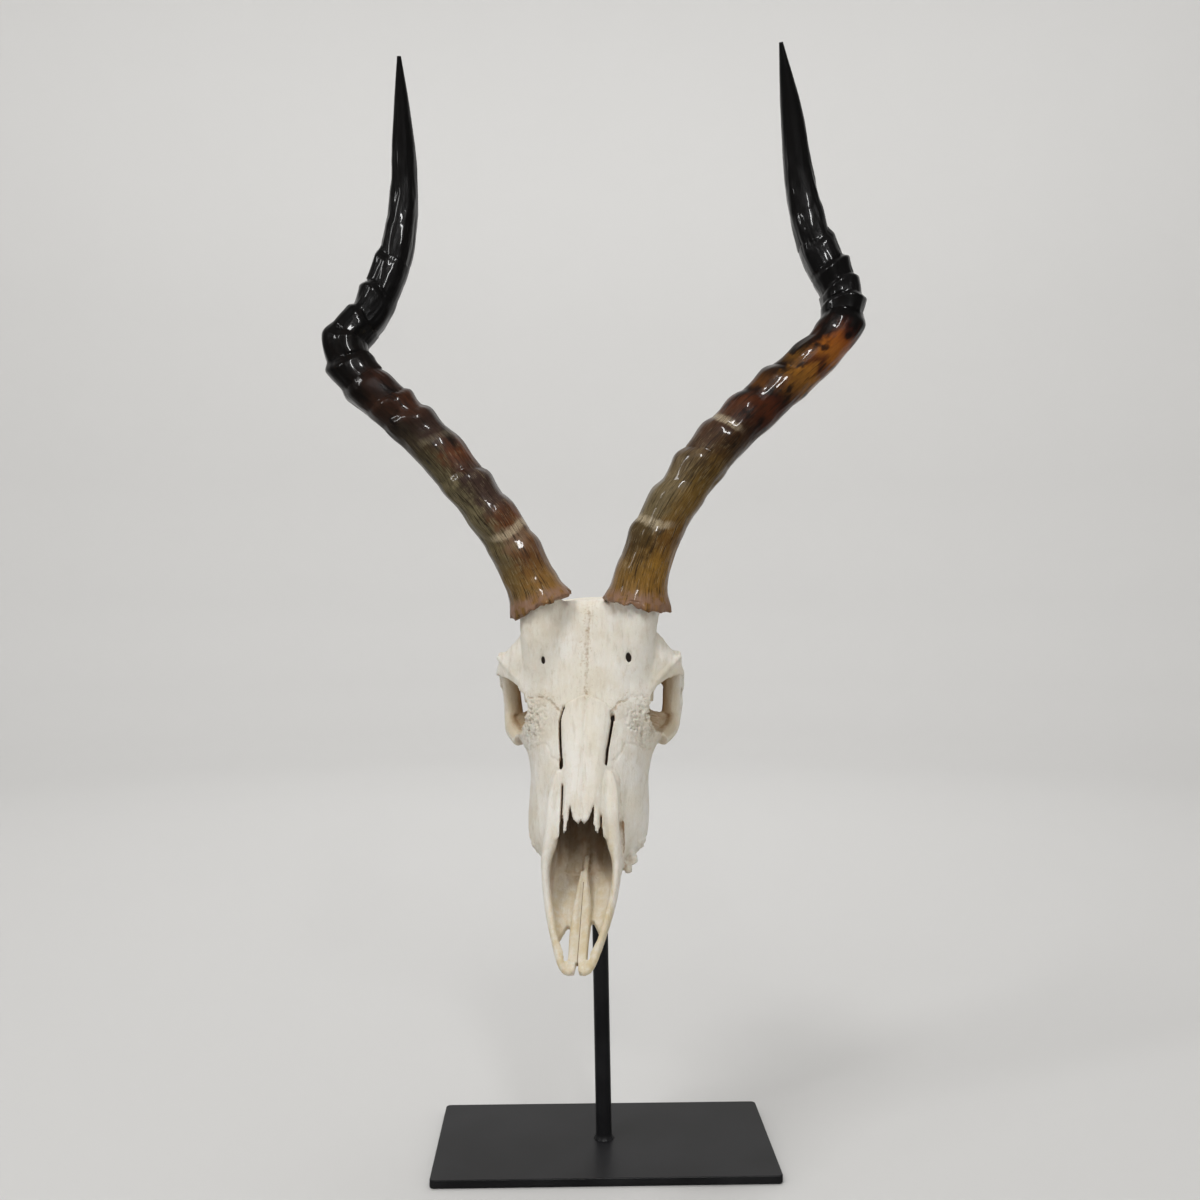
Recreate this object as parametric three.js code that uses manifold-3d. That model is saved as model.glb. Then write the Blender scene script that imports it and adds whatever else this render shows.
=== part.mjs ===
// The skull of an impala ram, with polished horns, on a black steel stand.
// Millimetres, +Z up. The origin is the middle of the plate's underside, and the skull faces -Y.
import * as THREE from 'three';
import { mergeVertices } from 'three/addons/utils/BufferGeometryUtils.js';
import Module from 'manifold-3d';

const wasm = await Module();
wasm.setup();

// Fits
const GAP = 0.3;

// Stand
const PLATE = { width: 210, depth: 110, thickness: 5, corner: 3, chamfer: 0.8 };
const ROD = { radius: 5, top: 328, lean: 6, sides: 16 };

// How the skull hangs on the rod: turned about X, Y and Z, with the tip of the nose at the given place
const POSE = { tilt: 42, roll: -0.7, turn: -6, nose: [-17.4, -146, 149.5] };

// Skull sections. The skull has a frame of its own: x to its left, u from the nose to the occiput
// along the palate, v up from the rims of the tooth sockets. Each section is half an outline [x, v]
// from the middle of the roof round to the middle of the underside.
const SECTIONS = [
  [1, [[0, 7], [2.2, 7], [4.2, 6.6], [5.4, 5.5], [5.4, 4.2], [4.2, 2.8], [2.5, 2], [0, 2]]],
  [6, [[0, 8], [4, 8.3], [7.2, 8.4], [9.1, 6.5], [9.1, 4.8], [7.6, 2.2], [4, 1], [0, 1]]],
  [13, [[0, 9], [6, 10.3], [10, 11], [12.4, 8], [12.2, 5], [10, 2], [5, 0.5], [0, 0.5]]],
  [24, [[0, 11], [8, 13], [12.3, 13.5], [15.3, 10], [15, 6], [12, 2], [6, 0.5], [0, 0.5]]],
  [42, [[0, 18], [12, 20], [16.6, 20], [19.5, 15], [18.6, 9], [14, 2], [7, 0.5], [0, 1]]],
  [57, [[0, 27], [13.5, 28], [19, 27], [21.4, 20], [20, 11], [14.5, 2], [8, 1], [0, 2]]],
  [62, [[0, 43.5], [9, 41], [17, 31.5], [22, 22], [21, 11], [16, 1.5], [9, 1], [0, 3]]],
  [70, [[0, 46], [9.5, 44], [17.5, 36], [24, 21], [24, 10], [18.5, 0.5], [10, 1], [0, 4]]],
  [79, [[0, 48.5], [10, 46.5], [18.5, 38], [29, 18], [30, 8], [24, 0], [13, 1], [0, 5]]],
  [89, [[0, 51.5], [11, 49.5], [20, 40], [32, 19], [33.6, 8], [29.5, 0], [17, 1], [0, 5.5]]],
  [101, [[0, 55.5], [12.5, 53], [22, 43], [32.8, 22], [34.5, 10], [31, 0], [18, 1], [0, 6]]],
  [115, [[0, 59.5], [14, 57], [25, 47], [32.8, 28], [33.8, 12], [31, 0], [18, 1], [0, 6]]],
  [128, [[0, 63.5], [15, 61.5], [28, 51], [35.5, 34], [33.5, 16], [31, 0], [18, 1], [0, 6]]],
  [137, [[0, 66.5], [17, 65], [33, 55], [41, 38], [36, 20], [31, 0], [18, 1], [0, 6.5]]],
  [146, [[0, 70.5], [19, 69], [39, 59], [46.5, 36], [38, 22], [31, 0], [18, 1], [0, 7]]],
  [156, [[0, 75], [22, 74], [46, 62.5], [50.5, 35], [38, 22], [30, 0], [18, 1], [0, 8.5]]],
  [165, [[0, 79.5], [25, 78], [53, 65.5], [53, 36], [37, 23], [27, 3], [17, 4], [0, 10]]],
  [171, [[0, 82.5], [26, 80.5], [50, 69], [54, 39], [36, 25], [24, 10], [15, 9], [0, 12]]],
  [178, [[0, 86], [27, 83.5], [44, 72.5], [51, 45], [36, 29], [21, 15], [13, 14], [0, 14.5]]],
  [184, [[0, 88.5], [27.5, 86], [39.5, 74.5], [44, 49], [33, 33], [21, 18], [12, 16], [0, 16]]],
  [188, [[0, 89.5], [27, 87], [36, 75], [34, 52], [30, 35], [21, 19], [12, 17], [0, 16.5]]],
  [195, [[0, 88.5], [27, 85], [34, 72], [33, 52], [29, 36], [21, 20], [12, 17], [0, 16.5]]],
  [204, [[0, 82.5], [22, 79], [32.5, 66], [33, 51], [30, 37], [21.5, 20], [12, 17], [0, 16.5]]],
  [214, [[0, 72.5], [18, 70], [30, 60], [33, 48], [31, 37], [22, 20], [12, 17], [0, 16]]],
  [226, [[0, 61.5], [17, 59.5], [28.5, 53], [32.5, 44], [31, 36], [22, 19], [11.5, 16.5], [0, 16]]],
  [238, [[0, 51.5], [17, 50], [28, 46.5], [31.5, 40], [29.5, 33], [21, 18], [11, 16], [0, 15.5]]],
  [248, [[0, 44.5], [15.5, 43.5], [26, 41.5], [29, 36.5], [26, 29], [19, 19], [10, 16.5], [0, 16]]],
  [256, [[0, 38.5], [11, 38], [19, 36], [23, 32.5], [20.5, 27], [14, 21], [8, 18], [0, 17.5]]],
];
const SAMPLES_PER_SPAN = 2;

// Hollow of the nose: [u, half width, floor, roof, half width of the roof]
const NOSE_HOLLOW = [
  [3, 3.2, 6.5, 30, 3.2],
  [13, 6.8, 6, 40, 6.8],
  [24, 10.3, 5.5, 44, 10.3],
  [42, 14.4, 6, 48, 14.4],
  [57, 16, 7, 56, 16],
  [61, 15.5, 8, 56, 15.5],
  [62, 15.5, 8, 40.5, 8],
  [79, 16, 9, 45, 8.5],
  [101, 19, 10, 52, 10.5],
  [128, 17, 12, 60, 12],
  [146, 13, 20, 62, 9],
  [158, 6, 30, 58, 5],
];

// Front edge of the nasal bones, from the gap beside the outer prong to the middle: [x, u]
const NASAL_EDGE = [
  [11.2, 56], [11.2, 76], [9.9, 76], [9.2, 60], [8, 61],
  [5.8, 78.5], [4, 68], [2.4, 65.5], [0.6, 66], [0, 70],
];
const NASAL_EDGE_LEVELS = [32, 60];

// Horns: [x, u, v, half thickness] along the middle, and the distance of each ring from the base
const HORNS = {
  left: {
    path: [
      [28.5, 192.4, 90, 19.3], [31.5, 203, 102.8, 16.3], [43.5, 222.6, 124.9, 15.1],
      [63.1, 243.7, 145.6, 14.8], [83.3, 262, 160, 14.6], [111.5, 285.8, 172.8, 14.3],
      [135.6, 307.3, 182.4, 13.5], [150.3, 324, 190.6, 13.3], [153.6, 341.8, 202.3, 13.6],
      [144, 358.5, 216.6, 12.9], [137, 371, 229, 11.7], [130, 390, 251.5, 9.8], [124.5, 411, 287, 7],
      [117.3, 426, 326, 1.2],
    ],
    rings: [26, 49, 74, 97, 117, 140, 168, 197, 221, 232, 243, 256, 274, 294],
  },
  right: {
    path: [
      [-28.5, 192.4, 90, 18.8], [-34.2, 201.2, 101.2, 16.2], [-48.3, 217, 123.9, 14.8],
      [-71.7, 235.5, 148.5, 14.4], [-90.5, 250.8, 165.2, 14.2], [-112.2, 266, 178.8, 14.1],
      [-136.5, 284, 192.3, 14.1], [-144, 301.3, 204.8, 13.8], [-131.4, 318, 214, 12.5],
      [-119.5, 341.3, 230.6, 11.3], [-112.3, 365.7, 254.3, 9.5], [-110.6, 383.6, 278.7, 7.9],
      [-109.8, 397, 304.4, 5.2], [-108.7, 408.7, 333.5, 1.2],
    ],
    rings: [20, 43, 68, 90, 120, 137, 152, 171, 188, 204, 220, 240, 263, 285],
  },
};
const HORN_SIDES = 12;
const RING = { low: 1.1, high: 2.4, step: 3.2, strongestAt: 203, reach: 70 };
const PEDICLE = {
  stops: [
    [24.5, 150, 52, 13, 11], [25.6, 162, 65, 13, 13],
    [26.8, 174.5, 77.5, 12.4, 14.5], [27.9, 185, 84.5, 12.6, 15.4],
  ],
  top: [16, 16.4],
  room: 20,
  clear: 22,
};

// Cheek teeth of one side from the front: [length, width, u of the middle, x of the middle, cusps]
const TEETH = {
  premolar_1: [7.8, 7, 94.5, 22.4, 1],
  premolar_2: [8.8, 8, 103.1, 23.4, 1],
  premolar_3: [8.4, 9, 112, 24.2, 1],
  molar_1: [12, 10.5, 122.5, 24.6, 2],
  molar_2: [13.4, 11, 135.5, 24.4, 2],
  molar_3: [13, 10.5, 149, 23.8, 2],
};
const TOOTH = { root: 6, rootScale: 0.84, crown: -8.5, crownScale: 0.95, cuspHeight: 2.2 };

const BONE = new THREE.MeshStandardMaterial({ color: 0xe9e3d6, roughness: 0.55, metalness: 0 });
const ENAMEL = new THREE.MeshStandardMaterial({ color: 0xd8ccb2, roughness: 0.35, metalness: 0 });
const HORN = new THREE.MeshStandardMaterial({ color: 0x4a2f18, roughness: 0.15, metalness: 0 });
const STEEL = new THREE.MeshStandardMaterial({ color: 0x161616, roughness: 0.45, metalness: 0.6 });

/** Closed surface through rings of points, with a fan over each end, facing outwards. */
function loft(rings) {
  const count = rings[0].length;
  const points = rings.flat();
  const index = [];
  for (let r = 0; r < rings.length - 1; r++) {
    for (let i = 0; i < count; i++) {
      const a = r * count + i;
      const b = r * count + ((i + 1) % count);
      index.push(a, b, b + count, a, b + count, a + count);
    }
  }
  const addEnd = (start, flip) => {
    const middle = new THREE.Vector3();
    for (let i = 0; i < count; i++) middle.addScaledVector(points[start + i], 1 / count);
    points.push(middle);
    for (let i = 0; i < count; i++) {
      const pair = [start + i, start + ((i + 1) % count)];
      index.push(...(flip ? pair.reverse() : pair), points.length - 1);
    }
  };
  addEnd(0, true);
  addEnd((rings.length - 1) * count, false);
  return outward(points, index);
}

/** Geometry from points and triangles, turned the right way out. */
function outward(points, index) {
  let volume = 0;
  for (let i = 0; i < index.length; i += 3) {
    const [a, b, c] = [points[index[i]], points[index[i + 1]], points[index[i + 2]]];
    volume += a.dot(new THREE.Vector3().crossVectors(b, c));
  }
  if (volume < 0) index.reverse();
  const geometry = new THREE.BufferGeometry().setFromPoints(points);
  geometry.setIndex(index);
  return geometry;
}

/** Solid for cutting and joining, from a closed geometry. */
function solid(geometry) {
  const bare = geometry.clone();
  bare.deleteAttribute('normal');
  bare.deleteAttribute('uv');
  const merged = mergeVertices(bare);
  return new wasm.Manifold(new wasm.Mesh({
    numProp: 3,
    vertProperties: merged.attributes.position.array,
    triVerts: new Uint32Array(merged.index.array),
  }));
}

/** Geometry of a solid. */
function geometryOf(body) {
  const mesh = body.getMesh();
  const geometry = new THREE.BufferGeometry();
  geometry.setAttribute('position', new THREE.BufferAttribute(mesh.vertProperties, 3));
  geometry.setIndex(new THREE.BufferAttribute(mesh.triVerts, 1));
  geometry.computeVertexNormals();
  return geometry;
}

/** Whole outline of a skull section at u, from its half outline. */
function sectionRing([u, half]) {
  const other = half.slice(1, -1).reverse().map(([x, v]) => [-x, v]);
  const whole = [...half, ...other].map(([x, v]) => new THREE.Vector3(x, u, v));
  const curve = new THREE.CatmullRomCurve3(whole, true);
  return curve.getPoints(whole.length * SAMPLES_PER_SPAN).slice(0, -1);
}

/** Outline of the nose's hollow at u. */
function hollowRing([u, half, floor, roof, roofHalf]) {
  const shoulder = floor + (roof - floor) * 0.55;
  return sectionRing([u, [[0, roof], [roofHalf, roof - 1], [half, shoulder], [half, floor + 4],
    [half * 0.6, floor], [0, floor]]]);
}

/** Oval ring about a point of a path: a along the sideways direction, b across it. */
function ovalRing(centre, tangent, sides, sizeAt) {
  const across = new THREE.Vector3().crossVectors(tangent, new THREE.Vector3(1, 0, 0)).normalize();
  const sideways = new THREE.Vector3().crossVectors(across, tangent).normalize();
  return Array.from({ length: sides }, (_, i) => {
    const angle = (2 * Math.PI * i) / sides;
    const [a, b] = sizeAt(angle);
    return centre.clone()
      .addScaledVector(sideways, a * Math.cos(angle))
      .addScaledVector(across, b * Math.sin(angle));
  });
}

/** Rounded bar through stops [x, u, v, half width, half height]; side -1 mirrors it. */
function limb(stops, side = 1, steps = stops.length * 2, sides = 10) {
  const curve = new THREE.CatmullRomCurve3(stops.map(([x, u, v]) => new THREE.Vector3(x * side, u, v)));
  const rings = [];
  for (let i = 0; i <= steps; i++) {
    const t = i / steps;
    const place = t * (stops.length - 1);
    const from = Math.min(Math.floor(place), stops.length - 2);
    const size = (k) => THREE.MathUtils.lerp(stops[from][k], stops[from + 1][k], place - from);
    rings.push(ovalRing(curve.getPoint(t), curve.getTangent(t), sides, () => [size(3), size(4)]));
  }
  return solid(loft(rings));
}

/** Egg at [x, u, v] with radii along x, u and v, turned about x by an angle in degrees. */
function egg([x, u, v], [rx, ru, rv], side = 1, turn = 0, detail = 12) {
  const shape = new THREE.SphereGeometry(1, detail, Math.round(detail * 0.67));
  shape.scale(rx, ru, rv);
  shape.rotateX(THREE.MathUtils.degToRad(turn));
  shape.translate(x * side, u, v);
  return solid(shape);
}

/** Upright prism over an outline of [x, u] points between two levels of v. */
function prism(outline, [low, high]) {
  const shape = new THREE.Shape(outline.map(([x, u]) => new THREE.Vector2(x, u)));
  const body = new THREE.ExtrudeGeometry(shape, { depth: high - low, bevelEnabled: false });
  body.translate(0, 0, low);
  return solid(body);
}

/** Both sides of a shape that a function makes for side 1 and side -1. */
const pair = (make) => make(1).add(make(-1));

/** Cheek bars, from under the eye sockets back to the sides of the braincase. */
function cheekBars() {
  return pair((side) => limb([
    [47, 156, 28, 3.5, 5], [51, 171, 29.5, 3.5, 5], [50.5, 185, 31, 2.8, 4.5],
    [47.5, 198, 32.5, 2.8, 4.5], [43, 210, 34, 3.5, 5], [33, 217, 37, 5, 7],
  ], side, 10, 8));
}

/** Plates behind the palate, bulbs of the ears, knobs of the neck joint and spurs beside it. */
function underside() {
  const plate = [[13, 160, 8, 2.2, 8.5], [11.5, 178, 9, 2, 8], [10.5, 195, 13, 2, 6]];
  return pair((side) => limb(plate, side, 4, 8)
    .add(egg([16.5, 232, 12.5], [7.5, 13, 9], side, -15))
    .add(egg([12.5, 255, 23], [8, 8, 10], side, 30))
    .add(limb([[27, 242, 28, 5, 8], [25.5, 247, 13, 3.5, 5.5], [23, 249, 1, 1.8, 2.5]], side, 3, 8))
    .add(limb([[29, 226, 30, 5, 6], [37, 220, 33, 3.5, 5]], side, 1, 8)));
}

/** Point of a horn's axis at a distance from the middle of its base. */
function onAxis({ path }, distance) {
  const [base, next] = path.map(([x, u, v]) => new THREE.Vector3(x, u, v));
  const place = base.clone().addScaledVector(next.sub(base).normalize(), distance);
  return [place.x, place.y, place.z];
}

/** Core of the skull under a horn, which rises out of the brow. */
function pedicle(horn, side) {
  const brow = PEDICLE.stops.map(([x, ...rest]) => [x * side, ...rest]);
  return limb([...brow, [...onAxis(horn, -GAP), ...PEDICLE.top]], 1, 2, HORN_SIDES);
}

/** Room for a horn above its base. */
function hornRoom(horn) {
  const stop = (distance) => [...onAxis(horn, distance), PEDICLE.clear, PEDICLE.clear];
  return limb([stop(-GAP), stop(PEDICLE.room)], 1, 1, HORN_SIDES);
}

/** Eye sockets, and the way from each back under the cheek bar. */
function sockets() {
  return pair((side) => egg([53, 159, 48.5], [29, 19, 18], side, 0, 16)
    .add(limb([[37, 161, 50, 10, 13], [38, 183, 53, 9, 14], [39, 199, 53, 8, 15]], side, 4)));
}

/** Slots between the nasal bones and the cheeks, pits of the brow and holes of the palate. */
function smallHoles() {
  const slot = [[11.8, 137], [13.6, 137.3], [15.8, 127], [14.2, 97], [12.8, 97], [14.4, 126]];
  const palate = [[3.6, 8], [4.6, 7.5], [7.4, 22], [7.6, 34], [5.2, 37], [4.2, 26]];
  const mirrored = (outline, side) => outline.map(([x, u]) => [x * side, u]);
  return pair((side) => prism(mirrored(slot, side), [46, 72])
    .add(limb([[24.5, 158, 92, 1.8, 1.8], [24, 158, 66, 1.8, 1.8]], side, 1, 6))
    .add(prism(mirrored(palate, side), [-3, 9])));
}

/** Hollow of the nose with the openings in front of the nasal bones and behind the palate. */
function noseHollow() {
  const edge = [...NASAL_EDGE, ...NASAL_EDGE.slice(0, -1).reverse().map(([x, u]) => [-x, u])];
  return solid(loft(NOSE_HOLLOW.map(hollowRing)))
    .add(prism(edge, NASAL_EDGE_LEVELS))
    .add(limb([[0, 190, 8.5, 8, 7], [0, 174, 14, 8, 7], [0, 150, 24, 8, 7]], 1, 4, 8))
    .add(prism([[-1.2, -2], [0, 7], [1.2, -2]], [-2, 12]));
}

/** Ridge along the floor of the nose, which ends in front in two narrow strips. */
function noseFloorRidge() {
  const split = prism([[-0.5, 0], [0.5, 0], [0.2, 44], [-0.2, 44]], [4, 14]);
  return limb([
    [0, 9, 4.5, 4, 2.2], [0, 26, 5.5, 4.6, 2.6], [0, 44, 7.4, 3.6, 3], [0.3, 54, 9, 2.2, 3.2],
    [0.8, 62, 10.2, 1.4, 2.6], [1.2, 69, 10.6, 1, 1.6],
  ], 1, 8, 8).subtract(split);
}

/** Outline of a tooth at one level, as a rounded oblong. */
function toothRing([length, width, u, x], side, level, scale, grow) {
  return Array.from({ length: 8 }, (_, i) => {
    const angle = (Math.PI * (i + 0.5)) / 4;
    const corner = 1 / Math.max(Math.abs(Math.cos(angle)), Math.abs(Math.sin(angle)));
    return new THREE.Vector3(
      side * x + Math.cos(angle) * corner * (scale * width / 2 + grow),
      u + Math.sin(angle) * corner * (scale * (length / 2 - GAP) + grow),
      level,
    );
  });
}

/** Socket of a tooth, with the gap all round. */
const toothSocket = (tooth, side) => solid(loft([
  toothRing(tooth, side, TOOTH.root + GAP, TOOTH.rootScale, GAP),
  toothRing(tooth, side, TOOTH.crown, TOOTH.crownScale, GAP),
]));

/** Cheek tooth with one or two hollows worn into its crown. */
function toothShape(tooth, side) {
  const [length, width, u, x, cusps] = tooth;
  let body = solid(loft([
    toothRing(tooth, side, TOOTH.root, TOOTH.rootScale, 0),
    toothRing(tooth, side, TOOTH.crown, TOOTH.crownScale, 0),
  ]));
  for (let i = 0; i < cusps; i++) {
    const middle = u + (length / cusps) * (i + 0.5) - length / 2;
    const reach = length / cusps / 2.6;
    const [left, right] = [x * side - width * 0.28, x * side + width * 0.28];
    const hollow = [[left, middle], [x * side, middle - reach], [right, middle], [x * side, middle + reach]];
    const levels = [TOOTH.crown - 1, TOOTH.crown + TOOTH.cuspHeight];
    body = body.subtract(prism(hollow, levels));
  }
  return body;
}

/** How far a horn's rings stand out at a distance from its base. */
function ringHeight(distance) {
  const near = Math.max(0, 1 - Math.abs(distance - RING.strongestAt) / RING.reach);
  return THREE.MathUtils.lerp(RING.low, RING.high, near);
}

/** Horn: each ring swells slowly from below and drops steeply towards the tip. */
function hornShape({ path, rings }) {
  const curve = new THREE.CatmullRomCurve3(path.map(([x, u, v]) => new THREE.Vector3(x, u, v)));
  const length = curve.getLength();
  const last = rings[rings.length - 1];
  const stops = [[0, 0.4], [4, 0.9], [9, 0], [24, -0.2]];
  for (const distance of rings) {
    const height = ringHeight(distance);
    stops.push([distance, height / 2], [distance + RING.step, -height / 2]);
  }
  for (let i = 1; i <= 7; i++) stops.push([last + RING.step + ((length - last - RING.step) * i) / 7, 0]);
  const sections = stops.map(([distance, swell]) => {
    const part = Math.min(distance / length, 1);
    const t = curve.getUtoTmapping(part);
    const place = t * (path.length - 1);
    const from = Math.min(Math.floor(place), path.length - 2);
    const radius = THREE.MathUtils.lerp(path[from][3], path[from + 1][3], place - from);
    const front = (angle) => 0.75 - 0.45 * Math.sin(angle);
    return ovalRing(curve.getPoint(t), curve.getTangent(t), HORN_SIDES, (angle) => {
      const size = Math.max(radius + swell * front(angle), 0.6);
      return [size, size];
    });
  });
  return solid(loft(sections));
}

/** Plate with rounded corners and a small chamfer. */
function plateShape() {
  const { width, depth, thickness, corner, chamfer } = PLATE;
  const [x, y, r] = [width / 2 - chamfer, depth / 2 - chamfer, corner - chamfer];
  const shape = new THREE.Shape();
  shape.absarc(x - r, y - r, r, 0, Math.PI / 2);
  shape.absarc(-x + r, y - r, r, Math.PI / 2, Math.PI);
  shape.absarc(-x + r, -y + r, r, Math.PI, Math.PI * 1.5);
  shape.absarc(x - r, -y + r, r, Math.PI * 1.5, Math.PI * 2);
  const body = new THREE.ExtrudeGeometry(shape, {
    depth: thickness - 2 * chamfer,
    bevelThickness: chamfer,
    bevelSize: chamfer,
    bevelSegments: 1,
    curveSegments: 2,
  });
  body.translate(0, 0, chamfer);
  return solid(body);
}

/** Rod, or with grow the bore that it stands in: upright, its top leaning to one side. */
function rodShape(grow) {
  const from = PLATE.thickness + GAP;
  const ring = (z) => Array.from({ length: ROD.sides }, (_, i) => {
    const angle = (2 * Math.PI * i) / ROD.sides;
    const middle = -ROD.lean * ((z - from) / (ROD.top - from));
    return new THREE.Vector3(
      middle + (ROD.radius + grow) * Math.cos(angle), (ROD.radius + grow) * Math.sin(angle), z);
  });
  return loft([ring(from), ring(ROD.top + grow)]);
}

/** The skull as one bone, without its teeth and horns, in its own frame. */
function skullShape(toSkull) {
  const bore = rodShape(GAP).applyMatrix4(toSkull);
  let skull = solid(loft(SECTIONS.map(sectionRing)))
    .subtract(sockets())
    .add(cheekBars())
    .add(underside())
    .add(pedicle(HORNS.left, 1))
    .add(pedicle(HORNS.right, -1))
    .subtract(hornRoom(HORNS.left))
    .subtract(hornRoom(HORNS.right))
    .subtract(noseHollow())
    .add(noseFloorRidge())
    .subtract(smallHoles())
    .subtract(limb([[0, 266, 29, 8, 7.5], [0, 240, 30, 7.5, 7]], 1, 1, 12))
    .subtract(solid(bore));
  for (const tooth of Object.values(TEETH)) {
    skull = skull.subtract(pair((side) => toothSocket(tooth, side)));
  }
  return skull;
}

/** Named mesh of a solid. */
function piece(name, body, material) {
  const mesh = new THREE.Mesh(body.isBufferGeometry ? body : geometryOf(body), material);
  mesh.name = name;
  return mesh;
}

const skullFrame = new THREE.Group();
skullFrame.rotation.set(...[POSE.tilt, POSE.roll, POSE.turn].map(THREE.MathUtils.degToRad), 'ZYX');
skullFrame.position.set(...POSE.nose);
skullFrame.updateMatrixWorld(true);

const root = new THREE.Group();
root.add(piece('base_plate', plateShape(), STEEL));
root.add(piece('rod', rodShape(0), STEEL));
skullFrame.add(piece('skull', skullShape(skullFrame.matrixWorld.clone().invert()), BONE));
skullFrame.add(piece('horn_left', hornShape(HORNS.left), HORN));
skullFrame.add(piece('horn_right', hornShape(HORNS.right), HORN));
for (const [name, tooth] of Object.entries(TEETH)) {
  skullFrame.add(piece(`${name}_left`, toothShape(tooth, 1), ENAMEL));
  skullFrame.add(piece(`${name}_right`, toothShape(tooth, -1), ENAMEL));
}
root.add(skullFrame);

export default root;
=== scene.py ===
"""Skull of an impala ram with polished horns, on a black steel stand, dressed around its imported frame."""
import math

import bmesh
import bpy
import numpy as np
from bpy.props import FloatProperty, FloatVectorProperty, IntProperty, PointerProperty
from mathutils import Euler, Matrix, Vector
from mathutils.bvhtree import BVHTree
from mathutils.kdtree import KDTree


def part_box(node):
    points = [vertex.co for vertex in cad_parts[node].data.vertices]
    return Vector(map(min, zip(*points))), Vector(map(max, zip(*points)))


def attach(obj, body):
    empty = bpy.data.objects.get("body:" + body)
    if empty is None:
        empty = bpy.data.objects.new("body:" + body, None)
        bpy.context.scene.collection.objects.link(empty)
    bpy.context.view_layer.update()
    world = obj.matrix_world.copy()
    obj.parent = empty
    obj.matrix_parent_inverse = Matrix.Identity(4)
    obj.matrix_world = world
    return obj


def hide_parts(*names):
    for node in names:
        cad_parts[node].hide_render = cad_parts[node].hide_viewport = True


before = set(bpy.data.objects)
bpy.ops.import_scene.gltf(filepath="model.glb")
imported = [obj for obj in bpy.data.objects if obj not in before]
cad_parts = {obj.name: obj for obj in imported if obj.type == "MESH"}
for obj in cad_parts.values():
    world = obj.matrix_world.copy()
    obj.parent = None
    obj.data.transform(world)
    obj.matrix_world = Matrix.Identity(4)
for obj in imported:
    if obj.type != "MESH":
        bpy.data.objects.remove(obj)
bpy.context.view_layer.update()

bl_info = {
    "name": "Horned skull",
    "version": (1, 0, 0),
    "blender": (4, 5, 0),
    "location": "3D View > Sidebar > Skull",
    "description": "An antelope skull with polished horns on a steel stand",
    "category": "Object",
}

PLATE_LOW, PLATE_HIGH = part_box("base_plate")
ROD_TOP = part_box("rod")[1].z
MM = 0.001
MM_PER_METRE = 1000
BODY = "root"

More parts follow.
